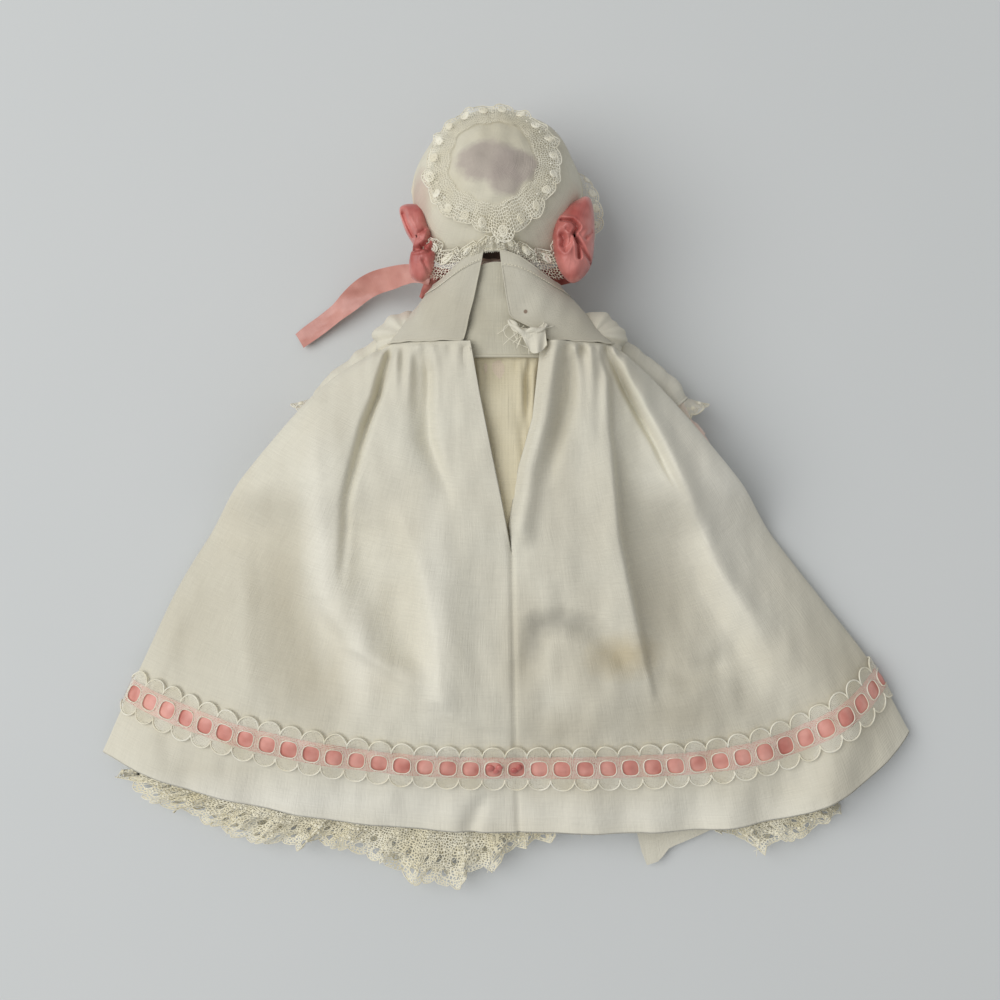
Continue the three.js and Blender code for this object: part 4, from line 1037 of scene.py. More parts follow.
def slip_point(turn, down):
    """A point of the slip, by the turn round it from the back and the share down the gown."""
    aside, height = np.sin(turn), np.cos(turn)
    side = np.where(aside < 0, -1, 1)
    width, half = slip_half_width(side, down)
    across = power(aside, 0.5) * width / half
    x, sagged, _ = skirt_plan(across, down)
    y = mix(mix(SEAM_Y, HEM_Y, down) - 0.4, sagged, smooth(down, 0.032, 0.2))
    top = skirt_drape(x, y, across, down) - 2.5 - 1.4 * down + np.minimum(folds(x, y), 0)
    top = top + 2.2 * hump(x, 2, 10) * smooth(y, -22, -4) * (1 - smooth(y, 30, 44))
    bottom = BEADING_ROOM * smooth(down, 0.7, 0.8) + 2.4
    return stack(x, y, mix(bottom, top, (1 + power(height, 0.5)) / 2))


def slip_skirt():
    def place(u, v):
        down = mix(0.02, 0.94, v)
        points = slip_point(2 * math.pi * u, down)
        upper = smooth(points[..., 2], 14, 24)
        drawn_up = gathers(points[..., 0] * 1.9, down, 31, 0.2) - 0.5 * np.exp(-down / 0.2)
        points[..., 2] += 1.5 * upper * drawn_up * smooth(down, 0.02, 0.05)
        points[..., 2] -= upper * 0.5 * (1 + uneven(points[..., 0], points[..., 1], 18, 32, 3.0))
        return points
    mesh = sheet_mesh(place, 320, 110, (420, 152))
    return piece("slip_skirt_gathered", [(mesh, slip_cloth)], "torso", "slip_cloth", "slip_skirt")


# The lower edge of the slip's lace, from left to right
LACE_EDGE = np.array([
    (-136, -96), (-123.5, -102), (-112.4, -107.9), (-97.5, -112.4), (-86.4, -119), (-62.4, -119.7),
    (-51.3, -120.7), (-39.9, -125.2), (-30.9, -130.8), (-17.7, -132.9), (-4.9, -127.3), (2.8, -121.8),
    (20, -114), (60, -110), (80, -115), (89, -122), (97, -117), (107, -115), (117, -109), (122, -103),
])


def lace_course():
    """Turns round the slip's hem, by the length of gathered lace."""
    turns = np.linspace(math.pi, 3 * math.pi, 2400)
    lengths = lengths_along(slip_point(turns, np.full_like(turns, SLIP_HEM)))
    return turns, lengths * SLIP_LACE_LENGTH / lengths[-1]


LACE_TURNS, LACE_LENGTHS = lace_course()


def slip_lace_surface(u, v):
    """A point of the ruffled lace, by the lengths along it and across it."""
    turn = np.interp(np.mod(u, SLIP_LACE_LENGTH), LACE_LENGTHS, LACE_TURNS)
    share = v / SLIP_LACE_WIDTH
    start = slip_point(turn, np.full_like(turn, SLIP_HEM))
    upper = np.cos(turn) > 0
    flare = np.where(start[..., 0] < 0, 1.33, 1.15)
    end_x = flare * start[..., 0]
    across = end_x / np.where(start[..., 0] < 0, 138, 142)
    hem_x, hem_y, _ = skirt_plan(across, np.ones_like(across))
    roof = skirt_drape(hem_x, hem_y, across, np.ones_like(across)) - 3.5
    rest = np.where(upper, np.minimum(roof, 9), 3.4)
    wave = 2 * math.pi * RUFFLES * u / SLIP_LACE_LENGTH + 2.2 * uneven(u, 0 * u, 34, 43)
    full = smooth(share, 0, 0.7)
    deep = 1 + 0.5 * uneven(u, 0 * u, 21, 45)
    ripple = 0.9 * deep * np.sin(wave) + 0.7 * uneven(u, v, 7, 46) - 0.4
    z = mix(start[..., 2], np.minimum(start[..., 2], rest), share) + full * ripple
    sway = full * (1.1 * np.cos(wave + 0.5) + 0.5 * uneven(u, v, 5, 47))
    edge = np.interp(end_x, *LACE_EDGE.T) + np.where(upper, 0, 3.0)
    edge = edge - full * (0.6 * deep * np.sin(wave + 1) + 1.1 * uneven(u, 0 * u, 13, 48))
    x = start[..., 0] * mix(1, flare, share) + sway
    return stack(x, mix(start[..., 1], edge, share), np.maximum(z, 0.6))


def slip_lace():
    pitch = SLIP_LACE_LENGTH / SLIP_SCALLOPS
    depth = 1.6
    reach = SLIP_LACE_WIDTH - depth

    def edge(u):
        return reach + depth * scallop(u, pitch)

    def keep(u, v):
        u, v = u * SLIP_LACE_LENGTH, v * SLIP_LACE_WIDTH
        hole = ((np.mod(u, pitch) - pitch / 2) / 1.0) ** 2 + ((v - reach + 1.6) / 1.2) ** 2 < 1
        hole |= ((np.mod(u + pitch / 2, pitch) - pitch / 2) / 0.9) ** 2 + ((v - reach + 5.4) / 1.3) ** 2 < 1
        return (v < edge(u)) & ~hole

    def place(u, v):
        return slip_lace_surface(u * SLIP_LACE_LENGTH, v * SLIP_LACE_WIDTH)

    net = sheet_mesh(place, 1800, 28, (SLIP_LACE_LENGTH, SLIP_LACE_WIDTH), keep)
    starts = np.arange(SLIP_SCALLOPS) * pitch
    arches = [arch(s, pitch, reach, reach + depth, 8) for s in starts]
    petals = [oval(s + pitch / 2, reach - 1.6, 1.0, 1.2, 1.0, 10) for s in starts]
    leaves = [oval(s, reach - 5.4, 0.9, 1.3, 1.0, 10) for s in starts]
    random = np.random.default_rng(44)
    ends = np.c_[random.uniform(0, SLIP_LACE_LENGTH, 900), random.uniform(0.35, 1, 900) * reach]
    fuzz = [lifted(slip_lace_surface, *np.repeat(end[:, None], 4, 1), np.zeros(4))
            + np.linspace(0, 1, 4)[:, None] * random.normal(0, 1.3, 3) * (1, 1, 0.5) for end in ends]
    buds = [(s + pitch * aside, reach - rise) for s in starts
            for aside, rise in ((0.0, 2.2), (0.5, 4.0), (0.25, 7.8), (0.75, 7.8), (0.0, 9.6), (0.5, 11.4))]
    parts = [
        (net, slip_net),
        (lay_cords(slip_lace_surface, arches, 0.4, 0.1), slip_thread),
        (lay_cords(slip_lace_surface, petals, 0.35, 0.1, closed=True), slip_thread),
        (lay_cords(slip_lace_surface, leaves, 0.35, 0.1, closed=True), slip_thread),
        (lay_beads(slip_lace_surface, buds, 0.7, 0.3, 0.1, 1), slip_thread),
        (cord_mesh(fuzz, 0.2), slip_thread),
    ]
    return piece("slip_lace_flounce", parts, "torso", "slip_lace", "slip_lace")


# Yoke of the gown and bodice of the slip: round is counted from the back to +X, and share runs
# from the neckline to the waist seam

YOKE = {"neck_y": 69.9, "tip": 7.5, "neck_radius": 20.6, "neck_depth": 18.5,
        "half_width": YOKE_HALF_WIDTH, "half_depth": YOKE_HALF_DEPTH, "centre_z": YOKE_MIDDLE,
        "seam_y": SEAM_Y, "front_drop": 7.6, "swell": 1.0}
BODICE = {"neck_y": 69.9, "tip": 5.5, "neck_radius": 16.2, "neck_depth": 16.0, "half_width": 24.0,
          "half_depth": 18.55, "centre_z": 21.05, "seam_y": 46.0, "front_drop": 0.0, "swell": 0.45}


def chest_point(cut, turn, share):
    """A point of a yoke or bodice of that cut."""
    turn = np.radians(turn)
    back, front = np.maximum(np.cos(turn), 0), np.maximum(-np.cos(turn), 0)
    neck_y = cut["neck_y"] + cut["tip"] * back**4 - 4 * front**1.5
    half_width = mix(cut["neck_radius"], cut["half_width"], share ** cut["swell"])
    fill = mix(share, share**0.35, front**0.7)
    half_depth = mix(cut["neck_depth"], cut["half_depth"], fill)
    roundness = 2 / mix(2, YOKE_ROUNDNESS, share)
    waist_y = cut["seam_y"] - cut["front_drop"] * np.minimum(1.5 * front, 1)
    return stack(
        mix(HEAD[0], 0, share) + half_width * power(np.sin(turn), roundness),
        mix(neck_y, waist_y, share),
        mix(HEAD[2], cut["centre_z"], fill) + half_depth * power(np.cos(turn), roundness),
    )


def back_armhole(share):
    return mix(89, 76, smooth(share, 0.3, 1))


def front_armhole(share):
    return mix(93, 133, smooth(share, 0.05, 0.4))


def slip_back_armhole(share):
    return mix(89, 52, smooth(share, 0.05, 0.5))


def slip_front_armhole(share):
    return mix(93, 133, smooth(share, 0.05, 0.45))


def left_placket(share):
    return -11 + 0 * share


def right_placket(share):
    return mix(3, 16, smooth(share, 0.7, 1))


def chest_panel(cut, start, end, lift, seed, wrinkle=0.22):
    """The places of a panel of the chest between two edges, softly wrinkled."""
    def place(u, v):
        points = chest_point(cut, mix(start(v), end(v), u), v)
        outward = unit(points - CHEST) * np.array([1, 0, 1])
        soft = wrinkle * uneven(points[..., 0], points[..., 1] + points[..., 2], 11, seed)
        return points + outward * (lift + soft)[..., None]
    return place


def chest_mesh(place):
    return sheet_mesh(place, 70, 40, (60, 30))


def edge_path(place, along, fixed, count=60):
    shares = np.linspace(0, 1, count)
    level = np.full(count, fixed)
    return place(shares, level) if along == "u" else place(level, shares)


def yoke_back(name, tip, start, end, placket, seed, node):
    cut = {**YOKE, "tip": tip}
    place = chest_panel(cut, start, end, 0.45, seed)
    raised = chest_panel(cut, start, end, 0.7, seed)
    collar = sheet_mesh(lambda u, v: raised(u, COLLAR * v), 70, 8, (45, 4))
    rolled = [edge_path(raised, "u", 0.0), edge_path(place, "v", placket)]
    seam = edge_path(place, "u", 1.0)
    seam[:, 1] += 0.15 * uneven(seam[:, 0], 0 * seam[:, 0], 6, seed + 3)
    parts = [
        (chest_mesh(place), yoke_cloth),
        (collar, yoke_cloth),
        (cord_mesh(rolled, 0.4, 2), yoke_cloth),
        (cord_mesh([seam], 0.7, 2), yoke_cloth),
        (sleeve_head(1 if placket == 0 else -1, seed), gown_cloth),
        (cord_mesh(stitch_paths(raised, COLLAR * 0.88), 0.22), gown_thread),
    ]
    return piece(name, parts, "torso", "gown_cloth", node)


def yoke_fore():
    place = chest_panel(YOKE, front_armhole, lambda t: 360 - front_armhole(t), 0.3, 16)
    return piece("yoke_front", [(chest_mesh(place), gown_cloth)], "torso", "gown_cloth", "gown_yoke_front")


def slip_bodice_rear():
    place = chest_panel(BODICE, lambda t: -slip_back_armhole(t), slip_back_armhole, 0.3, 12, wrinkle=0.3)
    waist = cord_mesh([edge_path(place, "u", 1.0)], 1.1, 2)
    parts = [(chest_mesh(place), shaded_bodice_cloth), (waist, shaded_bodice_cloth)]
    return piece("slip_bodice_rear", parts, "torso", "slip_cloth", "slip_bodice_back")


def slip_bodice_fore():
    place = chest_panel(BODICE, slip_front_armhole, lambda t: 360 - slip_front_armhole(t), 0.3, 13)
    parts = [(chest_mesh(place), shaded_bodice_cloth)]
    return piece("slip_bodice_fore", parts, "torso", "slip_cloth", "slip_bodice_front")


def sleeve_head(side, seed):
    """The gathered head of a sleeve, puffed out of the armhole."""
    centre, reach = np.array([side * 30.0, 53.5, 23.0]), np.array([12.0, 8.6, 10.5])

    def place(u, v):
        turn, tilt = 2 * math.pi * u, math.pi * (0.005 + 0.78 * v)
        gathered = 1 + 0.07 * np.sin(tilt) * uneven(np.cos(turn) * 9, np.sin(turn) * 9, 5, seed)
        way = stack(np.sin(tilt) * np.cos(turn), np.sin(tilt) * np.sin(turn), np.cos(tilt))
        return centre + way * reach * gathered[..., None]

    return sheet_mesh(place, 90, 40, (70, 26))


def stitch_paths(place, row):
    """Short running stitches in a line beside the neckline."""
    paths = []
    for start in np.linspace(0.02, 0.97, 34):
        shares = np.linspace(start, start + 0.018, 3)
        points = place(shares, np.full(3, row))
        paths.append(points + np.array([0, 0, 0.12]))
    return paths


def rolled_corner():
    """The right placket's lower corner, rolled up and frayed into loose threads."""
    random = np.random.default_rng(51)
    core = seen_line([(509, 320, 42.6), (516, 328, 43.6), (526, 333, 44.2), (537, 331, 44.2),
                      (547, 325, 42.8)])
    flap_top = seen_line([(519, 330, 44.2), (528, 334, 44.8), (537, 332, 44.8), (545, 327, 43.8)])
    flap_edge = seen_line([(527, 347, 44.6), (533, 353, 45.6), (540, 352, 46.0), (547, 345, 45.2)])
    curl = seen_line([(511, 322, 43), (504, 328, 42.8), (506, 336, 42.4), (515, 342, 42.2), (526, 347, 42.0),
                      (535, 351, 42.0)])

    def roll(u, v):
        ahead = unit(line(core, np.minimum(v + 0.02, 1)) - line(core, np.maximum(v - 0.02, 0)))
        turn = 2 * math.pi * u
        radius = 0.3 + 1.0 * np.sin(math.pi * np.clip(v, 0.02, 0.98)) ** 0.6
        radius = radius * (1 + 0.35 * np.sin(2 * turn + 14 * v) + 0.2 * np.sin(3 * turn - 9 * v))
        return ring_point(line(core, v), sides_of(ahead), turn, radius, radius)

    def flap(u, v):
        points = mix(line(flap_top, u), line(flap_edge, u), v[..., None])
        points[..., 2] += 0.7 * np.sin(u * 11 + 2 * v) * v
        return points

    paths = []
    for _ in range(26):
        first = line(core, np.array(random.uniform(0.1, 0.9))) + random.uniform(-1, 1, 3) * (1.2, 1.2, 0.3)
        way = unit(random.normal(0, 1, 3) * (1, 1, 0.1) + (-0.1, -0.6, 0))
        bend = unit(random.normal(0, 1, 3) * (1, 1, 0.1))
        steps = np.linspace(0, 1, 8)[:, None]
        straight = first + way * random.uniform(2, 4.5) * steps
        paths.append(straight + bend * 2.0 * steps**2 - (0, 0, 1.0) * steps)
    paths.append(line(curl, np.linspace(0, 1, 40)))
    parts = [
        (sheet_mesh(roll, 40, 60, (8, 14)), gown_cloth),
        (sheet_mesh(flap, 40, 20, (9, 6)), gown_cloth),
        (cord_mesh(paths, 0.22), gown_thread),
    ]
    return piece("frayed_corner", parts, "torso", "gown_cloth")


# Bonnet: directions count from the back of the head and round from the nape to +X

def back_point(radius, from_back, turn):
    tilt, turn = np.radians(from_back), np.radians(turn)
    aside = radius * np.sin(tilt)
    return HEAD + stack(aside * np.sin(turn), -aside * np.cos(turn), radius * np.cos(tilt))


def bonnet_flare(from_back, turn):
    """How far the bonnet's lower corners stand out."""
    lobe = hump(np.abs(turn), 42, 18)
    return 2.2 * lobe * smooth(from_back, 52, 82) * (1 - smooth(from_back, 90, 125))


def bonnet_edge(turn):
    """Where the bonnet ends, at the nape and round the face."""
    return mix(NAPE_EDGE, FACE_EDGE, smooth(np.abs(turn), 4, 56))


def bonnet_place(direction, lift):
    """The point of the bonnet in a direction from the head's middle."""
    direction = unit(direction)
    from_back = np.degrees(np.arccos(np.clip(direction[..., 2], -1, 1)))
    turn = np.degrees(np.arctan2(direction[..., 0], -direction[..., 1]))
    return back_point(BONNET_RADIUS + lift + bonnet_flare(from_back, turn), from_back, turn)


def crown_direction(from_back, turn):
    """A direction counted from the bonnet's tilted crown."""
    away = back_point(1.0, from_back, turn) - HEAD
    tilt, lean = math.radians(CROWN_TILT), math.radians(CROWN_LEAN)
    y = away[..., 1] * math.cos(tilt) + away[..., 2] * math.sin(tilt)
    z = away[..., 2] * math.cos(tilt) - away[..., 1] * math.sin(tilt)
    x = away[..., 0]
    return stack(x * math.cos(lean) - z * math.sin(lean), y, z * math.cos(lean) + x * math.sin(lean))


def bonnet_crown():
    def place(u, v):
        turn, share = 360 * u - 180, np.maximum(v, 0.002)
        angle = np.radians(turn)
        soft = 0.3 * uneven(share * np.sin(angle) * 15, share * np.cos(angle) * 15, 9, 61)
        swell = 0.7 * (1 - share**2) + soft
        return bonnet_place(crown_direction(CROWN_SEAM * share, turn), swell * (1 - share**6))
    mesh = sheet_mesh(place, 120, 30, (93, 15))
    return piece("bonnet_crown_patch", [(mesh, bonnet_cloth)], "head", "gown_cloth", "bonnet_crown")


def bonnet_band():
    def place(u, v):
        turn = 360 * u - 180
        seam = crown_direction(CROWN_SEAM - 1.5, turn)
        edge = back_point(1.0, bonnet_edge(turn), turn) - HEAD
        spread = turn / 180 * 90
        pleats = 0.15 * uneven(spread, 0 * spread, 5.0, 62) * np.exp(-v / 0.3)
        soft = 0.4 * uneven(spread, v * 20, 18, 63)
        tucked = smooth(v, 0, 0.07)
        return bonnet_place(mix(seam, edge, v[..., None]), (pleats + soft) * tucked - 0.25 * (1 - tucked))

    mesh = sheet_mesh(place, 300, 60, (180, 30))
    hem = cord_mesh([edge_path(place, "u", 1.0, 200)], 1.0, 2)
    parts = [(mesh, bonnet_cloth), (hem, bonnet_cloth)]
    return piece("bonnet_cap", parts, "head", "gown_cloth", "bonnet_band")


def dotted_lace(name, surface, length, width, pitch, node):
    """Net edging with a corded scallop and one coiled dot to each scallop."""
    depth = 1.4
    random = np.random.default_rng(23)

    def edge(u):
        return width - depth + depth * scallop(u, pitch)

    def keep(u, v):
        return v * width < edge(u * length)

    def place(u, v):
        return surface(u * length, v * width)

    net = sheet_mesh(place, max(int(length / 0.45), 20), 14, (length, width), keep)
    starts = np.arange(round(length / pitch)) * pitch
    arches = [arch(s, pitch, width - depth, width, 9) for s in starts]
    second = [arch(s + 0.7, pitch - 1.4, width - depth - 0.4, width - 1.2, 8) for s in starts]
    dots = [coil(s + pitch / 2, width - depth - 1.2, random.uniform(1.2, 1.7)) for s in starts]
    small = [(s, width - depth - rise) for s in starts for rise in (0.4, 2.6)]
    parts = [
        (net, bonnet_net),
        (lay_cords(surface, arches, 0.4, 0.1), gown_thread),
        (lay_cords(surface, second, 0.28, 0.1), gown_thread),
        (lay_cords(surface, dots, 0.7, 0.2, roundness=1), gown_thread),
        (lay_beads(surface, small, 0.45, 0.22, 0.1, 1), gown_thread),
    ]
    return piece(name, parts, "head", "gown_lace", node)


def crown_lace():
    length, width = 120.0, 8.6

    def surface(u, v):
        turn, share = 360 * u / length - 180, v / width
        angle = np.radians(turn)
        bunch = hump(turn, 12, 9)
        inner = CROWN_LACE[0] + 1.2 * np.sin(angle * 5 + 1) + 0.8 * np.sin(angle * 13)
        outer = CROWN_LACE[1] + 1.4 * np.sin(angle * 4) + 1.0 * np.sin(angle * 9 + 2) + 5 * bunch
        wave = np.sin(angle * 17 + 1.5 * np.sin(angle * 3))
        ruffle = share * (0.5 * wave + 0.2 * np.sin(angle * 29) + 2.6 * bunch)
        return bonnet_place(crown_direction(mix(inner, outer, share), turn), 0.6 + share * 1.7 + ruffle)
    return dotted_lace("crown_lace_ring", surface, length, width, length / 20, "crown_lace")


def nape_lace():
    length, width = 54.0, 8.4

    def surface(u, v):
        turn, share = 104 * u / length - 52, v / width
        spread = smooth(np.abs(turn), 8, 34)
        root = np.minimum(bonnet_edge(turn) + 1.5, 79)
        from_back = root - mix(13, 18, spread) * share
        ruffle = 0.6 * np.sin(u * 1.1) + 0.4 * np.sin(u * 2.3)
        stand = 5.5 * spread * (1 - share) + ruffle * mix(0.4, 1, share)
        return bonnet_place(back_point(1.0, from_back, turn) - HEAD, 1.2 + stand)
    return dotted_lace("nape_lace_edging", surface, length, width, length / 9, "nape_lace")


def brim_lace():
    length, width = 138.0, 9.0

    def surface(u, v):
        turn, share = mix(42, 268, u / length), v / width
        angle = np.radians(turn)
        fold = np.radians(mix(18, 80, smooth(turn, 80, 118)))
        out = stack(np.sin(angle) * np.cos(fold), -np.cos(angle) * np.cos(fold), -np.sin(fold))
        wave = share * (0.8 * np.cos(angle * 14) + 0.4 * uneven(u, v, 8, 73))
        edge = bonnet_edge(np.minimum(turn, 360 - turn)) + 0.8
        start = back_point(BONNET_RADIUS - 0.35 + wave + bonnet_flare(edge, turn), edge, turn)
        return start + out * (width * share)[..., None]
    return dotted_lace("brim_lace_ruffle", surface, length, width, length / 24, "brim_lace")


# Ribbons

def ribbon_mesh(points, ways, widths, rows=48, columns=10, curl=0.5):
    """A satin ribbon along a line of points, its width along the given ways."""
    points, ways = np.asarray(points, float), np.asarray(ways, float)
    widths = np.broadcast_to(widths, len(points)).astype(float)
    steps = np.linspace(0, 1, 80)
    length = np.linalg.norm(np.diff(line(points, steps), axis=0), axis=1).sum()

    def place(u, v):
        middle = line(points, v)
        ahead = unit(line(points, np.minimum(v + 0.01, 1)) - line(points, np.maximum(v - 0.01, 0)))
        aside = line(ways, v)
        aside = unit(aside - ahead * (aside * ahead).sum(-1, keepdims=True))
        width = line(widths[:, None], v)[..., 0]
        normal = np.cross(ahead, aside)
        cup = curl * (1 - (2 * u - 1) ** 2) + 0.12 * uneven(u * 6, v * length, 5, 81)
        return middle + aside * ((u - 0.5) * width)[..., None] + normal * cup[..., None]

    return sheet_mesh(place, columns, rows, (RIBBON_WIDTH, length))


def seen_line(rows):
    return np.array([spot(*row) for row in rows])


def satin_bow(name, outline, creases, level, lean, puff, node):
    """A bow of folded ribbon: a puffed form inside an outline, creased along lines of given depth."""
    rim = np.array([spot(a, d, level)[:2] for a, d in outline])
    loop = np.vstack([rim[-1:], rim, rim[:2]])
    centre = rim.mean(0)
    lines = [(np.array([spot(a, d, level + puff / 2)[:2] for a, d in path]), depth, width)
             for path, depth, width in creases]

    def place(u, v):
        edge = line(loop, (1 + u * len(rim)) / (len(rim) + 2))
        tilt = math.pi * np.clip(v, 0.004, 0.996)
        flat = centre + (edge - centre) * (np.sin(tilt) ** 0.7)[..., None]
        rise = np.where(tilt < math.pi / 2, puff, 0.8 * puff) * np.cos(tilt)
        upper = smooth(np.cos(tilt), 0.02, 0.3)
        for path, depth, width in lines:
            away = near_line(path, flat[..., 0], flat[..., 1])
            rise = rise - upper * depth * (0.7 * hump(away, 0, width) + 0.16 * hump(away, 0, 4 * width))
            rise = rise + upper * 0.12 * depth * hump(away, 2.6 * width, width)
        rise = rise + upper * 0.25 * uneven(flat[..., 0], flat[..., 1], 6, 83)
        return stack(flat[..., 0], flat[..., 1], level + lean * (flat[..., 0] - centre[0]) + rise)

    mesh = sheet_mesh(place, 190, 150, (70, 25))
    return piece(name, [(mesh, satin)], "head", "satin", node)


def left_bow():
    outline = [(399, 210), (404, 204), (418, 205), (424, 212), (430, 230), (436, 247), (434, 268), (424, 282),
               (412, 278), (409, 264), (414, 248), (405, 230)]
    creases = [
        ([(402, 211), (407, 224), (413, 236)], 4.0, 0.7),
        ([(412, 250), (421, 250), (428, 243), (432, 234)], 3.0, 0.55),
        ([(421, 247), (429, 252), (434, 250)], 1.8, 0.5),
        ([(418, 236), (424, 232)], 1.2, 0.5),
        ([(424, 262), (429, 272)], 1.4, 0.5),
    ]
    return satin_bow("ribbon_bow_left", outline, creases, 35.0, 0.35, 6.5, "rosette_left")


def right_bow():
    outline = [(560, 214), (573, 203), (587, 196), (593, 205), (595, 230), (593, 258), (586, 274), (573, 283),
               (562, 275), (555, 260), (552, 243), (553, 226)]
    creases = [
        ([(561, 221), (572, 223), (578, 229), (574, 234)], 3.0, 0.45),
        ([(574, 236), (578, 246), (579, 258)], 3.2, 0.45),
        ([(577, 240), (585, 253), (592, 261)], 2.6, 0.45),
        ([(592, 231), (586, 239)], 1.6, 0.45),
        ([(562, 237), (564, 241), (563, 246)], 3.4, 1.0),
        ([(556, 264), (562, 275)], 2.0, 0.7),
        ([(566, 231), (571, 234), (570, 244), (565, 252)], 1.2, 0.5),
    ]
    return satin_bow("ribbon_bow_right", outline, creases, 37.0, -0.3, 8.0, "rosette_right")


def chin_ribbon():
    under, reach = 74.3, NECK_RADIUS + 7
    points = [(-27, under + 1, 23), (-1 - reach, under, 18), (-1, under - 0.5, 11), (-1 + reach, under, 18),
              (25, under + 1, 25)]
    mesh = ribbon_mesh(points, [(0, 1, 0)] * 5, RIBBON_WIDTH, rows=60)
    short_end = seen_line([(432, 272, 27), (431, 282, 24), (427, 291, 20), (423, 298, 17)])
    end = ribbon_mesh(short_end, [(1, 0.2, 0.3)] * 4, [4.0, 4.4, 4.0, 2.6], rows=30)
    return piece("chin_tie", [(mesh, satin), (end, satin)], "head", "satin", "chin_ribbon")


TAIL_ROOT = (-23.0, 73.4, 26.0)
TAIL_ROUTE = [TAIL_ROOT, (-28.5, 75.0, 24.0), (-36.0, 75.5, 14.0), (-46.0, 73.0, 8.0), (-58.0, 64.0, 3.2),
              (-70.0, 55.5, 1.2)]


def ribbon_tail():
    """The tie's loose end, from the bow down to the table."""
    ways = [(0.1, 1, 0), (0.1, 1, 0.2), (0.2, 1, 0.5), (0.45, 0.85, 0.5), (0.6, 0.8, 0.1), (0.6, 0.8, 0)]
    mesh = ribbon_mesh(TAIL_ROUTE, ways, [5.0, 6.0, 7.6, 8.0, 6.8, 6.4], rows=90, curl=0.3)
    tail = piece("ribbon_tail_end", [(mesh, faded_satin)], None, "satin", "ribbon_tail")
    route = line(TAIL_ROUTE, np.linspace(0, 1, 60)) * MM
    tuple(route[-1])
    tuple(route[0])
    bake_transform(tail)
    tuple(route[0])


# Head

def head_point(radius, from_crown, turn):
    crown, turn = np.radians(from_crown), np.radians(turn)
    aside = radius * np.sin(crown)
    return HEAD + stack(aside * np.sin(turn), radius * np.cos(crown), aside * np.cos(turn))


def head_radius(from_crown, turn):
    """The head's reach in each direction, with a plain baby's face."""
    face = np.abs(np.abs(turn) - 180)
    nose = 2.2 * hump(from_crown, 97, 7) * hump(face, 0, 7)
    cheeks = 1.2 * hump(from_crown, 114, 17) * hump(face, 36, 18)
    chin = 1.1 * hump(from_crown, 138, 10) * hump(face, 0, 16)
    lips = 0.7 * hump(face, 0, 9) * (hump(from_crown, 116, 3) + hump(from_crown, 122, 3))
    sockets = -1.2 * hump(from_crown, 86, 9) * hump(face, 22, 12)
    return HEAD_RADIUS + nose + cheeks + chin + lips + sockets


def porcelain_head():
    first = math.degrees(math.asin(CROWN_OPENING / HEAD_RADIUS))
    last = 180 - math.degrees(math.asin(NECK_RADIUS / HEAD_RADIUS))

    def skull(u, v):
        turn, row = 360 * u - 180, mix(first, last, v)
        return head_point(head_radius(row, turn), row, turn)

    neck = [(NECK_RADIUS, 78.0), (NECK_RADIUS, NECK_BOTTOM), (FLANGE_RADIUS, NECK_BOTTOM - 0.6),
            (FLANGE_RADIUS, NECK_BOTTOM - 4), (NECK_RADIUS - 2.2, NECK_BOTTOM - 4)]

    def throat(u, v):
        profile = np.array(neck)
        along = np.linspace(0, 1, len(neck))
        radius, y = np.interp(v, along, profile[:, 0]), np.interp(v, along, profile[:, 1])
        turn = 2 * math.pi * u
        return stack(HEAD[0] + radius * np.sin(turn), y, HEAD[2] + radius * np.cos(turn))

    parts = [
        (sheet_mesh(skull, 160, 110, (150, 70)), porcelain),
        (sheet_mesh(throat, 64, 24, (56, 25)), porcelain),
    ]
    return piece("porcelain_head", parts, "head", "porcelain", "head")


def pate():
    edge = math.degrees(math.asin((CROWN_OPENING - 0.4) / HEAD_RADIUS))

    def place(u, v):
        return head_point(HEAD_RADIUS - 0.1, edge * np.maximum(v, 0.004), 360 * u)
    return piece("crown_pate", [(sheet_mesh(place, 48, 10, (60, 10)), card)], "head", "card", "pate")


def mohair_wig():
    def reach(turn):
        return mix(NAPE_EDGE + 14, 84, smooth(np.abs(turn), 20, 80))

    def place(u, v):
        turn = 360 * u - 180
        locks = 0.25 * uneven(turn * 0.45, v * 30, 5, 91, 6.0)
        return back_point(WIG_RADIUS - 0.3 + locks, reach(turn) * np.maximum(v, 0.003), turn)
    return piece("mohair_wig", [(sheet_mesh(place, 220, 60, (160, 36)), hair)], "head", "hair", "wig")


def glass_eye(name, side, node):
    depth = math.sqrt((HEAD_RADIUS - EYE_DEPTH) ** 2 - EYE_ASIDE**2)
    centre = HEAD + (side * EYE_ASIDE, 1, -depth)
    form = bmesh.new()
    place = Matrix.Translation(centre * MM)
    bmesh.ops.create_uvsphere(form, u_segments=32, v_segments=20, radius=EYE_RADIUS * MM, matrix=place)
    return piece(name, [(finished(form, name), eye_glass)], "head", "eye_glass", node)


# Body and limbs

def limb_mesh(course, stations, around, rows, seed=0, soft=0.0):
    """A round limb along a course: stations give distance, half width and half height."""
    table = np.array([(s[0], s[1], s[2] if len(s) > 2 else s[1]) for s in stations], float)

    def place(u, v):
        shape = line(table, v)
        distance = shape[..., 0]
        turn = 2 * math.pi * u
        lumps = 1 + soft * uneven(np.cos(turn) * 5, distance + np.sin(turn) * 5, 9, seed)
        wide, high = np.maximum(shape[..., 1], 0.02) * lumps, np.maximum(shape[..., 2], 0.02) * lumps
        return ring_point(course(distance), course_sides(course, distance), turn, wide, high)

    return sheet_mesh(place, around, rows, (30, table[-1, 0] - table[0, 0]))


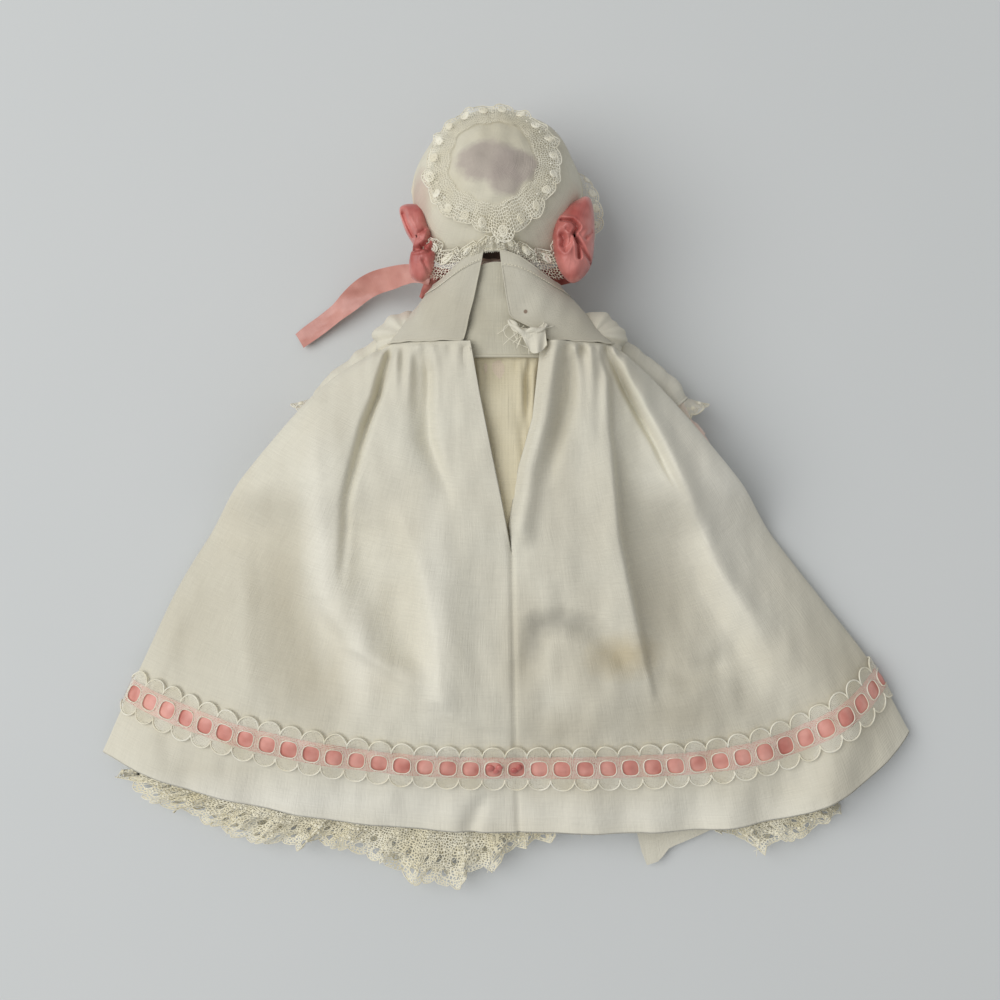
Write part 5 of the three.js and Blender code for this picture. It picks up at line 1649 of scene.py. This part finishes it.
def arm_course(side):
    def course(distance):
        straight, past = np.minimum(distance, UPPER_ARM), np.maximum(distance - UPPER_ARM, 0)
        drop, bent = math.radians(ARM_DROP), math.radians(ARM_DROP + ELBOW_BEND)
        x = SHOULDER[0] + straight * math.cos(drop) + past * math.cos(bent)
        y = SHOULDER[1] - straight * math.sin(drop) - past * math.sin(bent)
        to_elbow = mix(SHOULDER[2], ELBOW_HEIGHT, np.maximum(straight, 0) / UPPER_ARM)
        to_hand = mix(ELBOW_HEIGHT, HAND_HEIGHT, past / FOREARM)
        return stack(side * x, y, np.where(distance < UPPER_ARM, to_elbow, to_hand))
    return course


def leg_course(side):
    def course(distance):
        ankle, toe = THIGH + SHIN, THIGH + SHIN + FOOT
        heights = (HIP[2], KNEE_HEIGHT, ANKLE_HEIGHT, TOE_HEIGHT)
        z = np.interp(distance, [0, THIGH, ankle, toe], heights)
        return stack(side * (HIP[0] + distance * 0.055), HIP[1] - distance, z)
    return course


def ring_path(centre, along, radius, count=40):
    aside, upward, _ = frame_of(along)
    turn = np.linspace(0, 2 * math.pi, count, endpoint=False)[:, None]
    return centre + radius * (np.cos(turn) * aside + np.sin(turn) * upward)


def binding(name, course, distance, radius, body, node):
    """Three turns of thread round the cloth."""
    rings = []
    for offset in (-0.45, 0.0, 0.45):
        centre = course(np.array(distance + offset))
        along = course(np.array(distance + 1)) - course(np.array(distance - 1))
        rings.append(ring_path(centre, along, radius))
    return piece(name, [(cord_mesh(rings, 0.5, 1, closed=True), binding_thread)], body, "thread", node)


def torso():
    """The stuffed body: rows give y, half width, half height, and the row's middle in z and x."""
    neck = 11.1
    middle = 20.8
    rows = [(3.5, 0.1, 0.1, middle, 0), (3.6, 9, 7, middle, 0), (7, 18, 13.8, middle, 0),
            (15, 20.9, 16, middle, 0), (28, 21.6, 16.8, middle, 0), (45, 21.3, 16.5, middle, 0),
            (55, 22, 15.6, 22, 0), (60, 20.2, 14.4, 24.5, -0.5), (63, 12, 11.6, 26.5, -1),
            (64.6, neck, neck, 27, -1), (69, neck, neck, 27, -1)]
    table = np.array(rows, float)

    def place(u, v):
        row = line(table, v)
        turn = 2 * math.pi * u
        lumps = 1 + 0.012 * uneven(np.sin(turn) * 20, row[..., 0], 14, 95)
        x = row[..., 4] + np.abs(row[..., 1]) * lumps * power(np.sin(turn), 0.9)
        z = row[..., 3] + np.abs(row[..., 2]) * lumps * power(np.cos(turn), 0.9)
        return stack(x, row[..., 0], z)

    side_seams = [[place(np.array(u), np.array(v)) + (sign * 0.2, 0, 0) for v in np.linspace(0.12, 0.72, 50)]
                  for u, sign in ((0.25, 1), (0.75, -1))]
    parts = [
        (sheet_mesh(place, 120, 110, (130, 70)), body_cloth),
        (cord_mesh(side_seams, 0.6), binding_thread),
    ]
    return piece("stuffed_torso", parts, "torso", "body_cloth", "torso")


def arm(name, side):
    body = "arm_" + name
    course = arm_course(side)
    wrist = UPPER_ARM - 2
    hand = UPPER_ARM + FOREARM
    stuffed = [(-4.6, 0.02), (-4.2, 1.7), (-3, 3.0), (0, 4.1), (8, 4.9), (18, 5.6), (wrist - 7, 5.2),
               (wrist - 4, 4.3), (wrist - 2, 4.3), (wrist, 4.6)]
    glazed = [(wrist - 5.5, ARM_STUB), (wrist + 0.2, ARM_STUB), (wrist + 0.5, 4.5), (wrist + 1.6, 4.7),
              (wrist + 5, 4.8), (hand - 15, 4.2), (hand - 11, 3.5), (hand - 8.5, 4.3, 3),
              (hand - 5, 4.6, 2.7), (hand - 4, 4.2, 2.4), (hand - 3.6, 0.02)]
    bends = ((9.0, 3.6, -0.5, 0.4), (6.0, 6.0, 0.6, 0.4), (4.0, 6.2, -0.6, 0.2))
    cloth = limb_mesh(course, stuffed, 40, 70, 96, 0.02)
    upper = piece("stuffed_arm_" + name, [(cloth, body_cloth)], body, "body_cloth", "upper_arm_" + name)
    fingers = [finger_path(course, hand, offset) for offset in (-3.1, -1.1, 1.0, 3.0)]
    thumb = np.array([course(np.array(hand - back)) + (-side * x, y, z) for back, x, y, z in bends])
    parts = [
        (limb_mesh(course, glazed, 40, 90), porcelain),
        (cord_mesh(fingers, 2.2, 3), porcelain),
        (cord_mesh([thumb], 2.3, 3), porcelain),
    ]
    piece("porcelain_hand_" + name, parts, body, "porcelain", "forearm_" + name)
    binding("arm_binding_" + name, course, wrist - 3, 4.6, body, "arm_tie_" + name)
    frill = cuff_lace(name, course, body)
    sleeve_piece(name, course, body)


def finger_path(course, hand, offset):
    ahead = unit(course(np.array(hand)) - course(np.array(hand - 4)))
    aside = np.cross(ahead, (0, 0, 1))
    root = course(np.array(hand - 5.5)) + aside * offset
    return np.array([root + ahead * step - (0, 0, 0.03 * step**2) for step in np.linspace(0, 4.6, 5)])


def sleeve_piece(name, course, body):
    def stretch(distance):
        places = [SLEEVE_START, 15, 23, 30, 37, SLEEVE_END]
        return np.interp(distance, places, [6.6, 7.5, 7.7, 7.3, 6.8, 6.4])

    def place(u, v):
        distance = mix(SLEEVE_START, SLEEVE_END, v)
        turn = 2 * math.pi * u
        pull = np.exp(-v / 0.2) + np.exp(-(1 - v) / 0.15)
        rings = uneven(np.cos(turn) * 7, np.sin(turn) * 7, 4.5, 97)
        radius = stretch(distance) + 0.35 * pull * rings + 0.3 * uneven(np.cos(turn) * 7, distance, 8, 98)
        return ring_point(course(distance), course_sides(course, distance), turn, radius, radius)

    cloth = sheet_mesh(place, 110, 70, (48, 33))
    hem = cord_mesh([edge_path(place, "u", 1.0, 80)], 0.8, 1)
    parts = [(cloth, gown_cloth), (hem, gown_cloth)]
    return piece("gown_sleeve_" + name, parts, body, "gown_cloth", "sleeve_" + name)


def cuff_lace(name, course, body):
    length, width = 48.0, 6.0
    depth = 1.4
    count = 10
    pitch = length / count
    sides = sides_of(unit(course(np.array(45.0)) - course(np.array(43.0))))

    def surface(u, v):
        turn, share = 2 * math.pi * u / length, v / width
        wide = mix(6.4, 11.0, share) + 0.5 * share * np.sin(turn * 11)
        high = mix(6.4, 7.4, share) + 0.5 * share * np.sin(turn * 11)
        return ring_point(course(SLEEVE_END + 0.4 + v), sides, turn, wide, high)

    def keep(u, v):
        return v * width < width - depth + depth * scallop(u * length, pitch)

    def place(u, v):
        return surface(u * length, v * width)

    starts = np.arange(count) * pitch
    arches = [arch(s, pitch, width - depth, width, 9) for s in starts]
    dots = [(s + pitch / 2, 3.5) for s in starts]
    parts = [
        (sheet_mesh(place, 110, 12, (length, width), keep), gown_net),
        (lay_cords(surface, arches, 0.5, 0.05), gown_thread),
        (lay_beads(surface, dots, 0.9, 0.45, 0.1), gown_thread),
    ]
    return piece("cuff_lace_frill_" + name, parts, body, "gown_lace", "cuff_lace_" + name)


def leg(name, side):
    body = "leg_" + name
    course = leg_course(side)
    end = THIGH - 3
    ankle, toe = THIGH + SHIN, THIGH + SHIN + FOOT
    stuffed = [(-7, 0.02), (-6.2, 2.8), (-4.6, 5.0), (0, 7), (8, 8.1), (end - 8, 7.2), (end - 4, 5.4),
               (end - 2, 5.4), (end, 5.7)]
    glazed = [(end - 5.5, LEG_STUB), (end + 0.3, LEG_STUB), (end + 0.6, 5.7), (end + 1.8, 5.9),
              (end + 8, 6.3), (ankle - 5, 5), (ankle, 4.6, 5.2), (ankle + 4, 4.8, 4.6),
              (toe - 3, 5.2, 3.2), (toe - 0.6, 3.6, 2.2), (toe, 0.02)]
    cloth = limb_mesh(course, stuffed, 44, 70, 99, 0.02)
    thigh = piece("stuffed_thigh_" + name, [(cloth, body_cloth)], body, "body_cloth", "thigh_" + name)
    shin = limb_mesh(course, glazed, 44, 100)
    piece("porcelain_leg_" + name, [(shin, porcelain)], body, "porcelain", "shin_" + name)
    binding("leg_binding_" + name, course, end - 3, 5.9, body, "leg_tie_" + name)


def neck_course(distance):
    distance = np.asarray(distance, float)
    return stack(HEAD[0] + 0 * distance, NECK_TIE_Y + distance, HEAD[2] + 0 * distance)


# Picture: camera, light and table

def stage():
    camera = bpy.data.cameras.new("camera")
    camera.sensor_width = SENSOR
    camera.lens = SENSOR * CAMERA_HEIGHT / SEEN_WIDTH
    camera.clip_start = 0.01
    holder = shown("camera", camera)
    holder.location = (0, 0, CAMERA_HEIGHT * MM)
    bpy.context.scene.camera = holder

    form = bmesh.new()
    bmesh.ops.create_grid(form, x_segments=2, y_segments=2, size=TABLE_HALF)
    mesh = finished(form, "table")
    mesh.materials.append(table_material())
    table = shown("table", mesh)
    table.location = (0, 0, -TABLE_DROP)

    lamp = bpy.data.lights.new("window", "AREA")
    lamp.shape = "DISK"
    lamp.size = LAMP_SIZE
    lamp.energy = LAMP_ENERGY
    window = shown("window", lamp)
    window.location = LAMP_PLACE
    aim = Matrix(np.asarray(frame_of(np.array(window.location))).T.tolist())
    window.rotation_euler = aim.to_euler()

    world = bpy.data.worlds.new("room")
    world.use_nodes = True
    sky = world.node_tree.nodes["Background"]
    sky.inputs["Color"].default_value = ROOM_TINT
    sky.inputs["Strength"].default_value = ROOM_LIGHT
    bpy.context.scene.world = world
    bpy.context.scene.view_settings.view_transform = "Standard"


stage()
ribbon_tail()
chin_ribbon()
bows = [left_bow(), right_bow()]

porcelain_head()
pate()
wig = mohair_wig()
glass_eye("glass_eye_left", -1, "eye_left")
glass_eye("glass_eye_right", 1, "eye_right")
bonnet_patch = bonnet_crown()
bonnet_cap = bonnet_band()
bonnet_laces = [crown_lace(), nape_lace(), brim_lace()]

stuffed_torso = torso()
binding("neck_binding", neck_course, 0.0, 12.2, "torso", "neck_tie")
for name, side in (("left", -1), ("right", 1)):
    arm(name, side)
    leg(name, side)

bodice_back = slip_bodice_rear()
bodice_front = slip_bodice_fore()
slip = slip_skirt()
slip_flounce = slip_lace()

yoke_left = yoke_back("yoke_back_left", 11.3, lambda t: -back_armhole(t), left_placket, 1.0, 14,
                      "gown_yoke_back_left")
yoke_right = yoke_back("yoke_back_right", 8.7, right_placket, back_armhole, 0.0, 15, "gown_yoke_back_right")
yoke_front = yoke_fore()
frayed_corner = rolled_corner()

panels = [(gown_back_panel(side, 160, 240), gown_cloth) for side in (-1, 1)]
gown_back = piece("gown_skirt_back", panels, "torso", "gown_cloth", "gown_skirt")
panel = [(gown_front_panel(), gown_cloth)]
gown_front = piece("gown_skirt_front", panel, "torso", "gown_cloth", "gown_skirt")
beading, eyelet_pitch = beading_lace()
beading_tape = beading_ribbon(eyelet_pitch)
